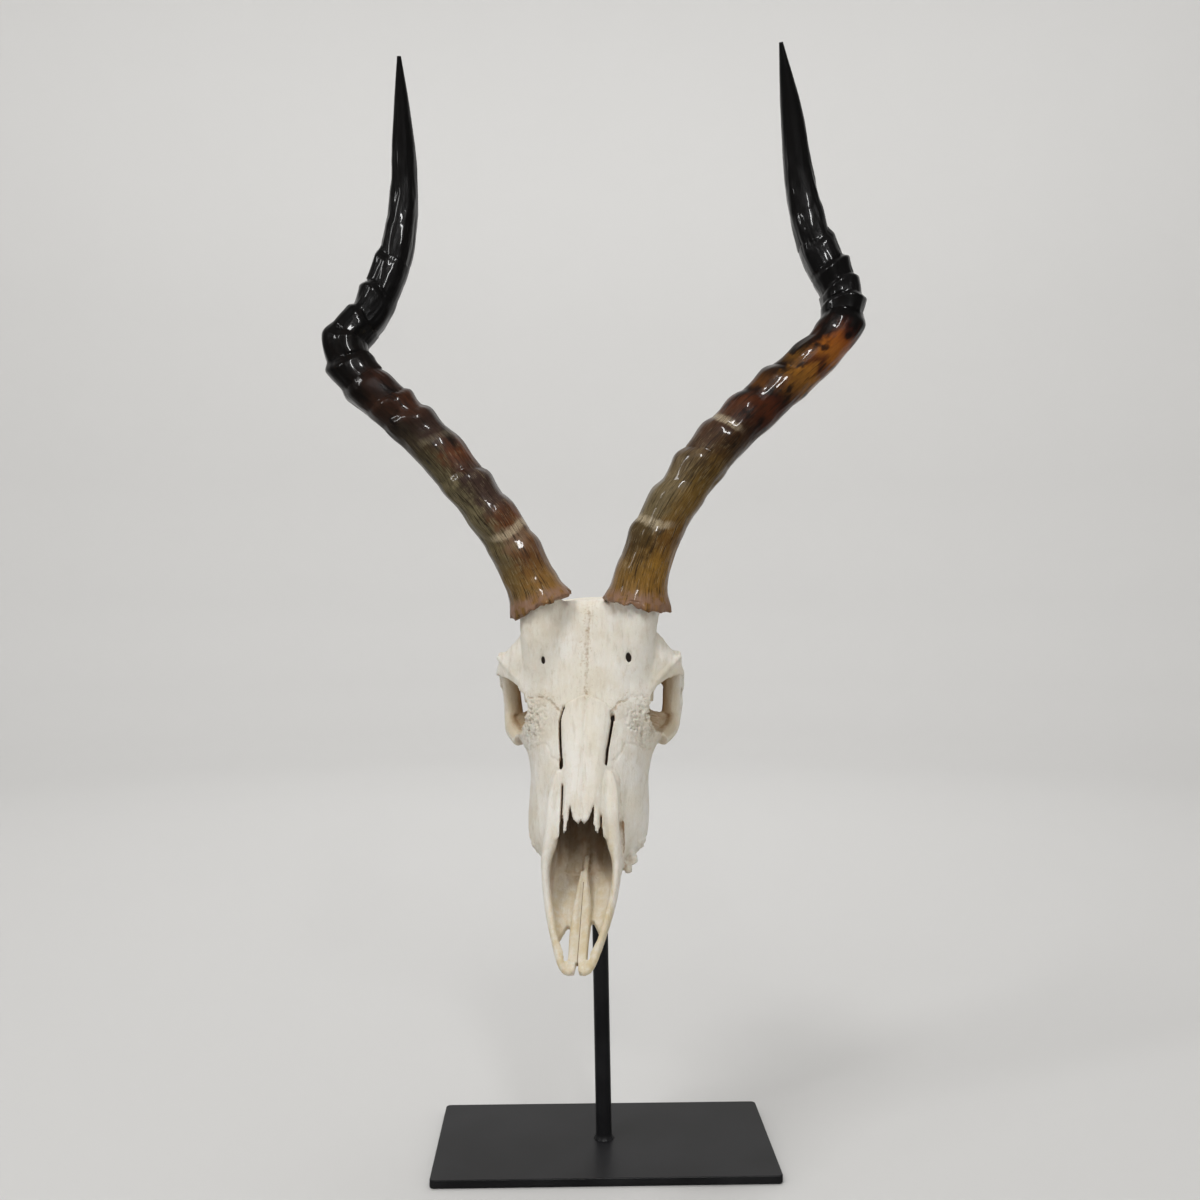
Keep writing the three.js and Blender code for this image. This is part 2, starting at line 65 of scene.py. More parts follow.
# Sections of the skull, in millimetres of its own frame: x to its left, u from the nose to the
# occiput along the palate, v up from the rims of the tooth sockets. Each is half an outline [x, v]
# from the middle of the roof round to the middle of the underside.
SECTIONS = [
    (1, [(0, 7), (2.2, 7), (4.2, 6.6), (5.4, 5.5), (5.4, 4.2), (4.2, 2.8), (2.5, 2), (0, 2)]),
    (6, [(0, 8), (4, 8.3), (7.2, 8.4), (9.1, 6.5), (9.1, 4.8), (7.6, 2.2), (4, 1), (0, 1)]),
    (13, [(0, 9), (6, 10.3), (10, 11), (12.4, 8), (12.2, 5), (10, 2), (5, 0.5), (0, 0.5)]),
    (24, [(0, 11), (8, 13), (12.3, 13.5), (15.3, 10), (15, 6), (12, 2), (6, 0.5), (0, 0.5)]),
    (42, [(0, 18), (12, 20), (16.6, 20), (19.5, 15), (18.6, 9), (14, 2), (7, 0.5), (0, 1)]),
    (57, [(0, 27), (13.5, 28), (19, 27), (21.4, 20), (20, 11), (14.5, 2), (8, 1), (0, 2)]),
    (62, [(0, 43.5), (9, 41), (17, 31.5), (22, 22), (21, 11), (16, 1.5), (9, 1), (0, 3)]),
    (70, [(0, 46), (9.5, 44), (17.5, 36), (24, 21), (24, 10), (18.5, 0.5), (10, 1), (0, 4)]),
    (79, [(0, 48.5), (10, 46.5), (18.5, 38), (29, 18), (30, 8), (24, 0), (13, 1), (0, 5)]),
    (89, [(0, 51.5), (11, 49.5), (20, 40), (32, 19), (33.6, 8), (29.5, 0), (17, 1), (0, 5.5)]),
    (101, [(0, 55.5), (12.5, 53), (22, 43), (32.8, 22), (34.5, 10), (31, 0), (18, 1), (0, 6)]),
    (115, [(0, 59.5), (14, 57), (25, 47), (32.8, 28), (33.8, 12), (31, 0), (18, 1), (0, 6)]),
    (128, [(0, 63.5), (15, 61.5), (28, 51), (35.5, 34), (33.5, 16), (31, 0), (18, 1), (0, 6)]),
    (137, [(0, 66.5), (17, 65), (33, 55), (41, 38), (36, 20), (31, 0), (18, 1), (0, 6.5)]),
    (146, [(0, 70.5), (19, 69), (39, 59), (46.5, 36), (38, 22), (31, 0), (18, 1), (0, 7)]),
    (156, [(0, 75), (22, 74), (46, 62.5), (50.5, 35), (38, 22), (30, 0), (18, 1), (0, 8.5)]),
    (165, [(0, 79.5), (25, 78), (53, 65.5), (53, 36), (37, 23), (27, 3), (17, 4), (0, 10)]),
    (171, [(0, 82.5), (26, 80.5), (50, 69), (54, 39), (36, 25), (24, 10), (15, 9), (0, 12)]),
    (178, [(0, 86), (27, 83.5), (44, 72.5), (51, 45), (36, 29), (21, 15), (13, 14), (0, 14.5)]),
    (184, [(0, 88.5), (27.5, 86), (39.5, 74.5), (44, 49), (33, 33), (21, 18), (12, 16), (0, 16)]),
    (188, [(0, 89.5), (27, 87), (36, 75), (34, 52), (30, 35), (21, 19), (12, 17), (0, 16.5)]),
    (195, [(0, 88.5), (27, 85), (34, 72), (33, 52), (29, 36), (21, 20), (12, 17), (0, 16.5)]),
    (204, [(0, 82.5), (22, 79), (32.5, 66), (33, 51), (30, 37), (21.5, 20), (12, 17), (0, 16.5)]),
    (214, [(0, 72.5), (18, 70), (30, 60), (33, 48), (31, 37), (22, 20), (12, 17), (0, 16)]),
    (226, [(0, 61.5), (17, 59.5), (28.5, 53), (32.5, 44), (31, 36), (22, 19), (11.5, 16.5), (0, 16)]),
    (238, [(0, 51.5), (17, 50), (28, 46.5), (31.5, 40), (29.5, 33), (21, 18), (11, 16), (0, 15.5)]),
    (248, [(0, 44.5), (15.5, 43.5), (26, 41.5), (29, 36.5), (26, 29), (19, 19), (10, 16.5), (0, 16)]),
    (256, [(0, 38.5), (11, 38), (19, 36), (23, 32.5), (20.5, 27), (14, 21), (8, 18), (0, 17.5)]),
]
SECTION_STEP = 1.5
SPAN_SAMPLES = 6

# Hollow of the nose: [u, half width, floor, roof, half width of the roof]
NOSE_HOLLOW = [
    (-2, 2.6, 8.5, 30, 2.6),
    (3, 3.6, 7.6, 30, 3.6),
    (8, 6.0, 6.4, 34, 6.0),
    (13, 8.2, 6, 40, 8.2),
    (24, 12.3, 5.5, 44, 12.3),
    (42, 15.8, 5.8, 48, 15.8),
    (52, 17.2, 6.4, 56, 17.2),
    (61, 16.5, 7.4, 56, 15.5),
    (62.5, 16.2, 7.6, 42.0, 9),
    (79, 17, 9, 46.0, 9),
    (101, 19, 10, 52.5, 10.5),
    (128, 17, 12, 60, 12),
    (146, 13, 20, 62, 9),
    (158, 6, 30, 58, 5),
]

# Front edge of the nasal bones of each side, from the outer prong to the middle: [x, u]
NASAL_EDGES = {
    1: [(12.6, 55), (12.0, 62), (11.0, 70), (10.2, 70), (9.4, 62), (8.6, 62), (7.4, 67), (6.8, 77.5),
        (6.0, 79), (4.8, 73.5), (3.6, 69.5), (2.4, 67.6), (1.2, 67.2)],
    -1: [(12.6, 55), (11.9, 62), (11.5, 72), (11.2, 88), (10.3, 88), (9.9, 72), (9.3, 61), (8.6, 61),
         (7.6, 67), (6.9, 78.5), (6.0, 79.5), (4.8, 73.5), (3.6, 69.5), (2.4, 67.6), (1.2, 67.2)],
}
NASAL_EDGE_LEVELS = (30, 62)

# Borders between the bones of the face, in the skull's frame: brown ones and faint ones
BROWN_SEAMS = {
    "frontal": [(0, 190, 90), (0.9, 178, 87), (-0.7, 168, 82), (0.6, 158, 77), (-0.3, 148, 72),
                (0, 140, 68)],
    "lacrimal_top": [(13.5, 131, 62), (20, 138, 63.5), (27, 142.5, 62.5), (35, 145, 59)],
}
FAINT_SEAMS = {
    "nasal_top": [(0, 140, 68), (6, 137.8, 66), (12.3, 134.2, 64)],
    "nasal_middle": [(0, 139, 67), (0, 120, 61), (0, 100, 55), (0, 84, 50), (0, 70, 46)],
    "lacrimal_front": [(15, 104, 52), (19, 109, 50), (22, 117, 51), (27, 121, 46), (31, 125, 38),
                       (35, 130, 33)],
    "premaxilla": [(13, 99, 51.5), (17.5, 101, 48), (19.8, 92, 41), (20.8, 80, 34.5), (21, 69, 27.5),
                   (21.4, 59, 21)],
    "crown": [(0, 205, 88), (10, 207, 85), (20, 209, 76), (29, 212, 62), (33, 216, 50)],
    "temple": [(33, 216, 50), (32, 204, 44), (30, 192, 38), (26, 180, 34)],
}

# Open slits, gaps and pits as seen from above, sunk and given painted shade down them: [lowest v, half
# width, depth, points of x and u]
SLITS = [
    (44, 1.0, 4, [(15.0, 130.2), (14.9, 128)]),
    (44, 0.55, 4, [(15.1, 129), (14.1, 121.7), (12.4, 109.5), (11.9, 101.6)]),
    (44, 0.5, 4, [(-12.5, 134), (-14.6, 127), (-14.2, 118), (-13.2, 108), (-12.6, 100)]),
    (44, 0.9, 4, [(-13.0, 105.5), (-12.7, 100.5)]),
    (25, 0.35, 4, [(-11.5, 90), (-11.3, 80), (-11.2, 68), (-11.4, 59)]),
    (25, 0.35, 4, [(10.3, 73), (10.6, 62)]),
    (60, 1.55, 1.5, [(23.8, 158.6), (24.1, 158.2)]),
    (60, 1.1, 1.2, [(-25.1, 157.8), (-25.0, 157.4)]),
]

# Line between the strips in the nose: [half width, points of x and u], and the spongy break of the jaw,
# which gets painted shade
STRIP_SEAM = (0.22, [(0.1, 3), (0.3, 28), (0.5, 52)])
SPONGY_SEAM = [(19.8, 78, 35), (20.8, 69, 27), (21, 62, 23.5)]

# Eye sockets, of the side where x is positive
ORBIT_CENTRE = (50, 152, 47)
ORBIT_RADII = (26, 18.5, 16.5)

# Smoothing of the skull's skin, and how far a vertex looks to find how closed in it is
SKIN_ROUNDS = 2
BROW_ROUNDS = 200
SKULL_OUTLOOK = 45
TOOTH_OUTLOOK = 6

# Horns: [x, u, v, half thickness] along the middle, and the distance of each ring from the base
HORNS = {
    "left": {
        "side": 1,
        "path": [
            (28.5, 192.4, 90, 19.3), (31.5, 203, 102.8, 16.3), (43.5, 222.6, 124.9, 15.1),
            (63.1, 243.7, 145.6, 14.8), (83.3, 262, 160, 14.6), (111.5, 285.8, 172.8, 14.3),
            (135.6, 307.3, 182.4, 13.5), (150.3, 324, 190.6, 13.3), (153.6, 341.8, 202.3, 13.6),
            (144, 358.5, 216.6, 12.9), (137, 371, 229, 11.7), (130, 390, 251.5, 9.8),
            (124.5, 411, 287, 7), (117.3, 426, 326, 1.2),
        ],
        "rings": [26, 49, 74, 97, 117, 140, 168, 197, 221, 232, 243, 256, 274, 294],
        "cups": 208,
    },
    "right": {
        "side": -1,
        "path": [
            (-28.5, 192.4, 90, 18.8), (-34.2, 201.2, 101.2, 16.2), (-48.3, 217, 123.9, 14.8),
            (-71.7, 235.5, 148.5, 14.4), (-90.5, 250.8, 165.2, 14.2), (-112.2, 266, 178.8, 14.1),
            (-136.5, 284, 192.3, 14.1), (-144, 301.3, 204.8, 13.8), (-131.4, 318, 214, 12.5),
            (-119.5, 341.3, 230.6, 11.3), (-112.3, 365.7, 254.3, 9.5), (-110.6, 383.6, 278.7, 7.9),
            (-109.8, 397, 304.4, 5.2), (-108.7, 408.7, 333.5, 1.2),
        ],
        "rings": [20, 43, 68, 90, 120, 137, 152, 171, 188, 204, 220, 240, 263, 285],
        "cups": 166,
    },
}

# Cheek teeth of one side from the front: [length, width, u of the middle, x of the middle, lobes]
TEETH = {
    "premolar_1": (7.8, 7, 94.5, 22.4, 1),
    "premolar_2": (8.8, 8, 103.1, 23.4, 1),
    "premolar_3": (8.4, 9, 112, 24.2, 1),
    "molar_1": (12, 10.5, 122.5, 24.6, 2),
    "molar_2": (13.4, 11, 135.5, 24.4, 2),
    "molar_3": (13, 10.5, 149, 23.8, 2),
}
TOOTH_LEVELS = (5.6, -8.5)
TOOTH_GAP = 0.3

# Grid of a horn's skin, and the thickness that its fibres are counted in
HORN_STEP = 0.62
HORN_SIDES = 112
HORN_HALF = 14


# Curves and numbers

def cubic_curve(points, samples, closed=False):
    """Centripetal curve through points, with a number of samples on each span; points may be stacked."""
    points = np.asarray(points, float)
    if closed:
        p1 = points
        p0, p2, p3 = (np.roll(points, shift, axis=-2) for shift in (1, -1, -2))
    else:
        first = 2 * points[..., :1, :] - points[..., 1:2, :]
        last = 2 * points[..., -1:, :] - points[..., -2:-1, :]
        line = np.concatenate([first, points, last], axis=-2)
        p0, p1, p2, p3 = (line[..., i:line.shape[-2] - 3 + i, :] for i in range(4))
    pairs = ((p0, p1), (p1, p2), (p2, p3))
    gaps = [np.sqrt(np.linalg.norm(b - a, axis=-1, keepdims=True)) for a, b in pairs]
    gaps[1] = np.where(gaps[1] < 1e-4, 1.0, gaps[1])
    gaps[0] = np.where(gaps[0] < 1e-4, gaps[1], gaps[0])
    gaps[2] = np.where(gaps[2] < 1e-4, gaps[1], gaps[2])
    lead, middle, trail = gaps
    start = ((p1 - p0) / lead - (p2 - p0) / (lead + middle) + (p2 - p1) / middle) * middle
    end = ((p2 - p1) / middle - (p3 - p1) / (middle + trail) + (p3 - p2) / trail) * middle
    pieces = []
    for t in np.arange(samples) / samples:
        c2 = -3 * p1 + 3 * p2 - 2 * start - end
        c3 = 2 * p1 - 2 * p2 + start + end
        pieces.append(p1 + start * t + c2 * t * t + c3 * t ** 3)
    curve = np.stack(pieces, axis=-2)
    curve = curve.reshape(*curve.shape[:-3], -1, curve.shape[-1])
    if not closed:
        curve = np.concatenate([curve, points[..., -1:, :]], axis=-2)
    return curve


def monotone(x, xs, ys):
    """Smooth values at x through the table xs, ys, without overshoot."""
    xs = np.asarray(xs, float)
    ys = np.asarray(ys, float)
    step = np.diff(xs).reshape(-1, *[1] * (ys.ndim - 1))
    slope = np.diff(ys, axis=0) / step
    inner = np.where(slope[1:] * slope[:-1] > 0,
                     2 * slope[1:] * slope[:-1] / (slope[1:] + slope[:-1] + 1e-12 * np.sign(slope[1:])), 0)
    tangent = np.concatenate([slope[:1], inner, slope[-1:]])
    x = np.clip(np.asarray(x, float), xs[0], xs[-1])
    i = np.clip(np.searchsorted(xs, x, side="right") - 1, 0, len(xs) - 2)
    shape = (-1, *[1] * (ys.ndim - 1))
    h = (xs[i + 1] - xs[i]).reshape(shape)
    t = (x - xs[i]).reshape(shape) / h
    low = (1 + 2 * t) * (1 - t) ** 2 * ys[i] + t * (1 - t) ** 2 * h * tangent[i]
    high = t * t * (3 - 2 * t) * ys[i + 1] + t * t * (t - 1) * h * tangent[i + 1]
    return low + high


def smooth(low, high, value):
    """0 below low, 1 above high and smooth between, for low under high or the other way round."""
    t = np.clip((value - low) / (high - low), 0, 1)
    return t * t * (3 - 2 * t)


def bump(value, centre, width):
    """1 at the centre, falling off as a bell."""
    return np.exp(-((value - centre) / width) ** 2)


GRAIN = np.random.RandomState(7).uniform(-1, 1, (32, 32, 32))


def grain(points, scale, octaves=1, shift=0.0):
    """Smooth random values between about -1 and 1, at a scale or a scale for each axis."""
    total = np.zeros(len(points))
    size = 1.0
    for _ in range(octaves):
        place = points / (np.asarray(scale, float) * size) + shift
        cell = np.floor(place).astype(int)
        t = place - cell
        t = t * t * (3 - 2 * t)
        value = 0
        for corner in range(8):
            offset = [(corner >> axis) & 1 for axis in range(3)]
            index = [(cell[:, axis] + offset[axis]) % 32 for axis in range(3)]
            weight = np.prod([t[:, a] if offset[a] else 1 - t[:, a] for a in range(3)], axis=0)
            value = value + weight * GRAIN[index[0], index[1], index[2]]
        total += value * size
        size *= 0.5
    return total


# Meshes

def make_object(name, bm):
    """Object of a bmesh, which is freed."""
    mesh = bpy.data.meshes.new(name)
    bm.to_mesh(mesh)
    bm.free()
    piece = bpy.data.objects.new(name, mesh)
    bpy.context.scene.collection.objects.link(piece)
    return piece


def coordinates(mesh):
    """Vertices of a mesh as an array."""
    co = np.empty(len(mesh.vertices) * 3)
    mesh.vertices.foreach_get("co", co)
    return co.reshape(-1, 3)


def normals(mesh):
    """Vertex normals of a mesh as an array."""
    found = np.empty(len(mesh.vertices) * 3)
    mesh.vertex_normals.foreach_get("vector", found)
    return found.reshape(-1, 3)


def move_vertices(mesh, co):
    """Puts the vertices of a mesh at new places."""
    mesh.vertices.foreach_set("co", np.ascontiguousarray(co, dtype=np.float32).ravel())
    mesh.update()


def write_values(mesh, name, values):
    """Stores one number or one vector for each vertex."""
    values = np.asarray(values, np.float32)
    if values.ndim == 1:
        mesh.attributes.new(name, "FLOAT", "POINT").data.foreach_set("value", values)
    else:
        mesh.attributes.new(name, "FLOAT_VECTOR", "POINT").data.foreach_set("vector", values.ravel())


def sheet(points):
    """Bmesh of a grid with its vertices moved to an array of rows x columns x 3."""
    rows, columns = points.shape[:2]
    bm = bmesh.new()
    bmesh.ops.create_grid(bm, x_segments=columns - 1, y_segments=rows - 1, size=1)
    for vertex in bm.verts:
        column = round((vertex.co.x + 1) / 2 * (columns - 1))
        row = round((vertex.co.y + 1) / 2 * (rows - 1))
        vertex.co = points[row, column]
    return bm


def loft(name, rings):
    """Closed surface through an array of rings, rings x points x 3, with its ends drawn to their middles."""
    rings = np.concatenate([rings[:1], rings, rings[-1:]])
    rings[0] = rings[0].mean(axis=0)
    rings[-1] = rings[-1].mean(axis=0)
    bm = sheet(np.concatenate([rings, rings[:, :1]], axis=1))
    bmesh.ops.remove_doubles(bm, verts=bm.verts, dist=1e-4)
    bmesh.ops.recalc_face_normals(bm, faces=bm.faces)
    return make_object(name, bm)


def section_rings(half_outlines, us):
    """Whole rings from half outlines [x, v] at the given places u."""
    halves = np.asarray(half_outlines, float)
    other = halves[:, 1:-1][:, ::-1] * [-1, 1]
    whole = cubic_curve(np.concatenate([halves, other], axis=1), SPAN_SAMPLES, closed=True)
    places = np.broadcast_to(np.asarray(us, float)[:, None, None], (*whole.shape[:2], 1))
    return np.concatenate([whole[..., :1], places, whole[..., 1:]], axis=-1)


def limb(stops, side=1, sides=20, step=1.5, name="limb"):
    """Rounded bar through stops [x, u, v, half width, half height]; side -1 mirrors it."""
    stops = np.asarray(stops, float)
    centre = stops[:, :3] * [side, 1, 1]
    length = np.linalg.norm(np.diff(centre, axis=0), axis=1)
    samples = max(2, math.ceil(length.max() / step))
    middle = cubic_curve(centre, samples)
    place = np.arange(len(middle)) / samples
    sizes = monotone(place, np.arange(len(stops)), stops[:, 3:])
    tangent = np.gradient(middle, axis=0)
    tangent /= np.linalg.norm(tangent, axis=1, keepdims=True)
    across = np.cross(tangent, [1.0, 0, 0])
    across /= np.linalg.norm(across, axis=1, keepdims=True)
    sideways = np.cross(across, tangent)
    angle = np.linspace(0, 2 * np.pi, sides, endpoint=False)[None, :, None]
    rings = (middle[:, None] + sideways[:, None] * sizes[:, :1, None] * np.cos(angle)
             + across[:, None] * sizes[:, 1:, None] * np.sin(angle))
    return loft(name, rings)


def egg(centre, radii, side=1, turn=0, roughness=0.0):
    """Egg with radii along x, u and v, turned about x by an angle in degrees, and roughened."""
    place = Matrix.Translation(Vector(centre) * Vector((side, 1, 1)))
    shape = Euler((math.radians(turn), 0, 0)).to_matrix().to_4x4() @ Matrix.Diagonal((*radii, 1))
    bm = bmesh.new()
    bmesh.ops.create_icosphere(bm, subdivisions=5 if roughness else 4, radius=1, matrix=place @ shape)
    piece = make_object("egg", bm)
    if roughness:
        co = coordinates(piece.data)
        move_vertices(piece.data, co + normals(piece.data) * (roughness * grain(co, 3.2, 3))[:, None])
    return piece


def prism(outline, levels, side=1):
    """Upright prism over an outline of [x, u] points between two levels of v."""
    bm = bmesh.new()
    corners = [bm.verts.new((x * side, u, levels[0])) for x, u in outline]
    bottom = bm.faces.new(corners)
    grown = bmesh.ops.extrude_face_region(bm, geom=[bottom])["geom"]
    top = [item for item in grown if isinstance(item, bmesh.types.BMVert)]
    bmesh.ops.translate(bm, verts=top, vec=(0, 0, levels[1] - levels[0]))
    bmesh.ops.recalc_face_normals(bm, faces=bm.faces)
    return make_object("prism", bm)


def bring_together(base, joins_and_cuts):
    """Joins the pieces marked + to a base and cuts the pieces marked - from it, in order."""
    for sign, other in joins_and_cuts:
        modifier = base.modifiers.new("step", "BOOLEAN")
        modifier.operation = "UNION" if sign == "+" else "DIFFERENCE"
        modifier.solver = "MANIFOLD"
        modifier.object = other
    apply_modifiers(base)
    for _, other in joins_and_cuts:
        bpy.data.objects.remove(other)


def apply_modifiers(piece):
    """Gives a piece the mesh that its modifiers make."""
    view = bpy.context.evaluated_depsgraph_get()
    mesh = bpy.data.meshes.new_from_object(piece.evaluated_get(view))
    piece.modifiers.clear()
    piece.data = mesh


def relax(piece, weights, rounds):
    """Smooths a piece where its weights say, from 0 to 1."""
    group = piece.vertex_groups.new(name="relax")
    for level in np.unique(np.round(weights, 1)):
        if level > 0:
            members = np.flatnonzero(np.round(weights, 1) == level).tolist()
            group.add(members, float(level), "REPLACE")
    easing = piece.modifiers.new("relax", "SMOOTH")
    easing.vertex_group = "relax"
    easing.factor = 0.5
    easing.iterations = rounds
    apply_modifiers(piece)
    piece.vertex_groups.clear()


def remesh(piece, voxel, rounds):
    """Even skin over a piece, smoothed a number of rounds."""
    skin = piece.modifiers.new("skin", "REMESH")
    skin.mode = "VOXEL"
    skin.voxel_size = voxel
    skin.use_smooth_shade = True
    easing = piece.modifiers.new("ease", "SMOOTH")
    easing.factor = 0.5
    easing.iterations = rounds
    apply_modifiers(piece)


def thin_out(piece, triangles):
    """Fewer triangles, most where the shape is fine."""
    piece.data.calc_loop_triangles()
    count = len(piece.data.loop_triangles)
    if count > triangles:
        fewer = piece.modifiers.new("fewer", "DECIMATE")
        fewer.ratio = triangles / count
        apply_modifiers(piece)


def place_piece(piece, matrix, material, node):
    """Puts a finished piece in place, dresses it and lets it stand for its node."""
    piece.data.transform(matrix)
    piece.data.materials.clear()
    piece.data.materials.append(material)
    piece.data.polygons.foreach_set("use_smooth", [True] * len(piece.data.polygons))
    piece.data.update()
    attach(piece, BODY)
    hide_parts(node)


def skull_place(settings):
    """Matrix from the skull's own millimetres to the scene."""
    turned = Euler((settings.tilt, settings.roll, settings.turn)).to_matrix().to_4x4()
    return Matrix.Translation(settings.nose) @ turned @ Matrix.Scale(MM, 4)


# Skull

def pair(make):
    """What a function makes for both sides."""
    return [make(1), make(-1)]


def skull_body():
    """Solid of the head, before anything is cut."""
    us = np.array([u for u, _ in SECTIONS], float)
    halves = np.array([half for _, half in SECTIONS], float)
    places = np.unique(np.concatenate([np.arange(us[0], us[-1], SECTION_STEP), us]))
    outlines = monotone(places, us, halves)
    return loft("skull", section_rings(outlines, places))


def orbit_cuts(side):
    """Eye socket, the way back under the cheek bar, and the temple behind the bar of the eye."""
    return [
        egg(ORBIT_CENTRE, ORBIT_RADII, side, roughness=0.9),
        limb([(35, 161, 38, 9, 13), (34.5, 172, 34, 10, 19), (35, 186, 34, 9, 22), (37, 202, 40, 7, 18)],
             side),
        limb([(47, 178, 47, 12, 12), (45, 190, 49, 13, 17), (44, 208, 52, 11, 17)], side),
    ]


def orbit_joins(side):
    """Bar behind the eye, the cheek bar back to the braincase, and the rim over the eye."""
    return [
        limb([(48, 172, 68, 6, 3.5), (49, 171, 60, 5.2, 2.7), (48.2, 169, 50, 5.2, 2.4),
              (47.8, 165, 40, 5.4, 2.6), (47, 160, 31, 5.5, 4)], side),
        limb([(41, 140, 30, 5, 4.5), (47, 150, 28, 4.5, 5), (49.5, 160, 28.5, 3.6, 5.4),
              (51, 171, 29.5, 3, 5), (50.5, 185, 31, 2.6, 4.5), (47.5, 198, 32.5, 2.6, 4.5),
              (43, 210, 34, 3.4, 5), (33, 217, 37, 5, 7)], side),
        limb([(33, 146, 61, 1.8, 1.8), (41, 156, 65, 2.3, 1.9), (48, 164, 67.8, 2.3, 1.7),
              (53.5, 169.5, 69, 1.4, 1.1)], side),
    ]


def underside_joins(side):
    """Plates behind the palate, bulb of the ear, knob of the neck joint and the spurs beside it."""
    return [
        limb([(13, 160, 8, 2.2, 8.5), (11.5, 178, 9, 2, 8), (10.5, 195, 13, 2, 6)], side),
        egg((16.5, 232, 12.5), (7.5, 13, 9), side, -15),
        egg((12.5, 255, 23), (8, 8, 10), side, 30),
        limb([(27, 242, 28, 5, 8), (25.5, 247, 13, 3.5, 5.5), (23, 249, 1, 1.8, 2.5)], side),
        limb([(29, 226, 30, 5, 6), (37, 220, 33, 3.5, 5)], side),
    ]


def horn_axis(side):
    """Middle of a horn's base and the direction it starts in."""
    path = np.array(HORNS["left" if side > 0 else "right"]["path"])[:2, :3]
    return path[0], (path[1] - path[0]) / np.linalg.norm(path[1] - path[0])


def pedicle(side):
    """Core under a horn, which rises out of the brow without a step."""
    base, axis = horn_axis(side)
    top = base + axis * 1.2
    top[0] *= side
    return limb([(24.5, 150, 52, 13, 11), (25.6, 162, 65, 13, 13), (26.8, 174.5, 77.5, 12.4, 14.5),
                 (27.9, 185, 84.5, 12.6, 15.4), (*top, 16, 16.4)], side, sides=48)


def horn_room(side):
    """Room for a horn above its base."""
    base, axis = horn_axis(side)
    return limb([(*(base + axis * distance), 22, 22) for distance in (1.5, 20)], sides=48)


def premaxilla(side):
    """Rounded bar from the tip of the nose up beside the nasal bones."""
    return limb([
        (2.7, 1.0, 4.8, 1.7, 1.8), (6.0, 2.6, 5.6, 2.2, 2.3), (8.8, 7, 7.4, 2.1, 2.7),
        (11.4, 15, 9.2, 2.0, 3.0), (14.4, 26, 11.8, 2.1, 3.4), (17.6, 40, 16.4, 2.2, 4.0),
        (19.1, 50, 21.8, 2.3, 4.8), (18.9, 57, 26.6, 2.9, 4.6), (17.2, 64, 32.6, 4.0, 3.8),
        (16.3, 74, 39.4, 4.3, 3.0), (15.8, 86, 44.6, 3.6, 2.6), (14.3, 98, 50.0, 1.6, 1.8),
    ], side, sides=24)


def nose_cuts():
    """Hollow of the nose, with its openings in front and behind the palate."""
    us = np.array([row[0] for row in NOSE_HOLLOW], float)
    halves = []
    for _, half, floor, roof, roof_half in NOSE_HOLLOW:
        shoulder = floor + (roof - floor) * 0.55
        halves.append([(0, roof), (roof_half, roof - 1), (half, shoulder), (half, floor + 4),
                       (half * 0.6, floor), (0, floor)])
    places = np.unique(np.concatenate([np.arange(us[0], us[-1], SECTION_STEP), us]))
    hollow = loft("hollow", section_rings(monotone(places, us, halves), places))
    edge = NASAL_EDGES[1] + [(0, 69.8)] + [(-x, u) for x, u in NASAL_EDGES[-1][::-1]]
    return [
        hollow,
        prism(edge, NASAL_EDGE_LEVELS),
        limb([(0, 190, 8.5, 8, 7), (0, 174, 14, 8, 7), (0, 150, 24, 8, 7)]),
    ]


def nose_joins():
    """Ridge along the floor of the nose, the two strips that it ends in, and a flake of the broken jaw."""
    ridge = limb([(0, 44, 7, 2.6, 3.0), (0.3, 54, 9, 1.8, 3.2), (0.8, 62, 10.2, 1.2, 2.6),
                  (1.2, 69, 10.6, 0.8, 1.6)])
    left = limb([(2.4, 4, 4.9, 2.4, 1.7), (2.6, 14, 5.2, 2.6, 1.5), (2.8, 26, 5.8, 2.8, 1.8),
                 (2.7, 38, 7.4, 2.8, 2.4), (2.1, 50, 9.6, 2.2, 3.0), (1.2, 61, 12.0, 1.3, 2.6)])
    right = limb([(-2.5, 4, 4.9, 2.4, 1.7), (-2.6, 14, 5.4, 2.6, 1.5), (-2.6, 26, 6.2, 2.5, 2.0),
                  (-2.1, 38, 7.9, 2.3, 2.6), (-1.5, 50, 9.8, 1.6, 3.0), (-0.8, 59, 12.0, 0.9, 2.6)])
    flake = limb([(24.4, 76, 13, 3, 4), (25.2, 70.5, 10, 2.8, 3.4), (24.2, 66, 8.4, 2.3, 3),
                  (22.4, 62.5, 8, 1.6, 2)])
    return [ridge, left, right, flake]


def hole_cuts(side):
    """Holes of the palate and of the optic nerve."""
    if side > 0:
        palate = [(4.9, 5.4), (5.8, 5.6), (8.4, 13), (11.4, 22), (10.4, 25.5), (7.8, 31), (5.6, 37),
                  (5.2, 26)]
    else:
        palate = [(4.9, 5.4), (6.2, 5.8), (9.2, 13), (11.7, 19), (10.2, 22), (7.6, 28.5), (5.9, 34),
                  (5.2, 24)]
    return [
        prism(palate, (-3, 9.2), side),
        limb([(26, 172, 42, 2.6, 3.4), (10, 176, 42, 2.6, 3.4)], side),
    ]


def spongy_slit():
    """Broken slit between the two upper jaw bones of one side."""
    slit = limb([(19.2, 96, 46, 0.9, 2.0), (19.8, 88, 41, 1.2, 2.6), (20.3, 79, 35.8, 1.9, 3.4),
                 (20.8, 71, 29.6, 2.1, 3.6), (21.2, 62, 23.6, 1.4, 2.8)])
    co = coordinates(slit.data)
    move_vertices(slit.data, co + normals(slit.data) * (0.9 * grain(co, 2.4, 2))[:, None])
    return slit


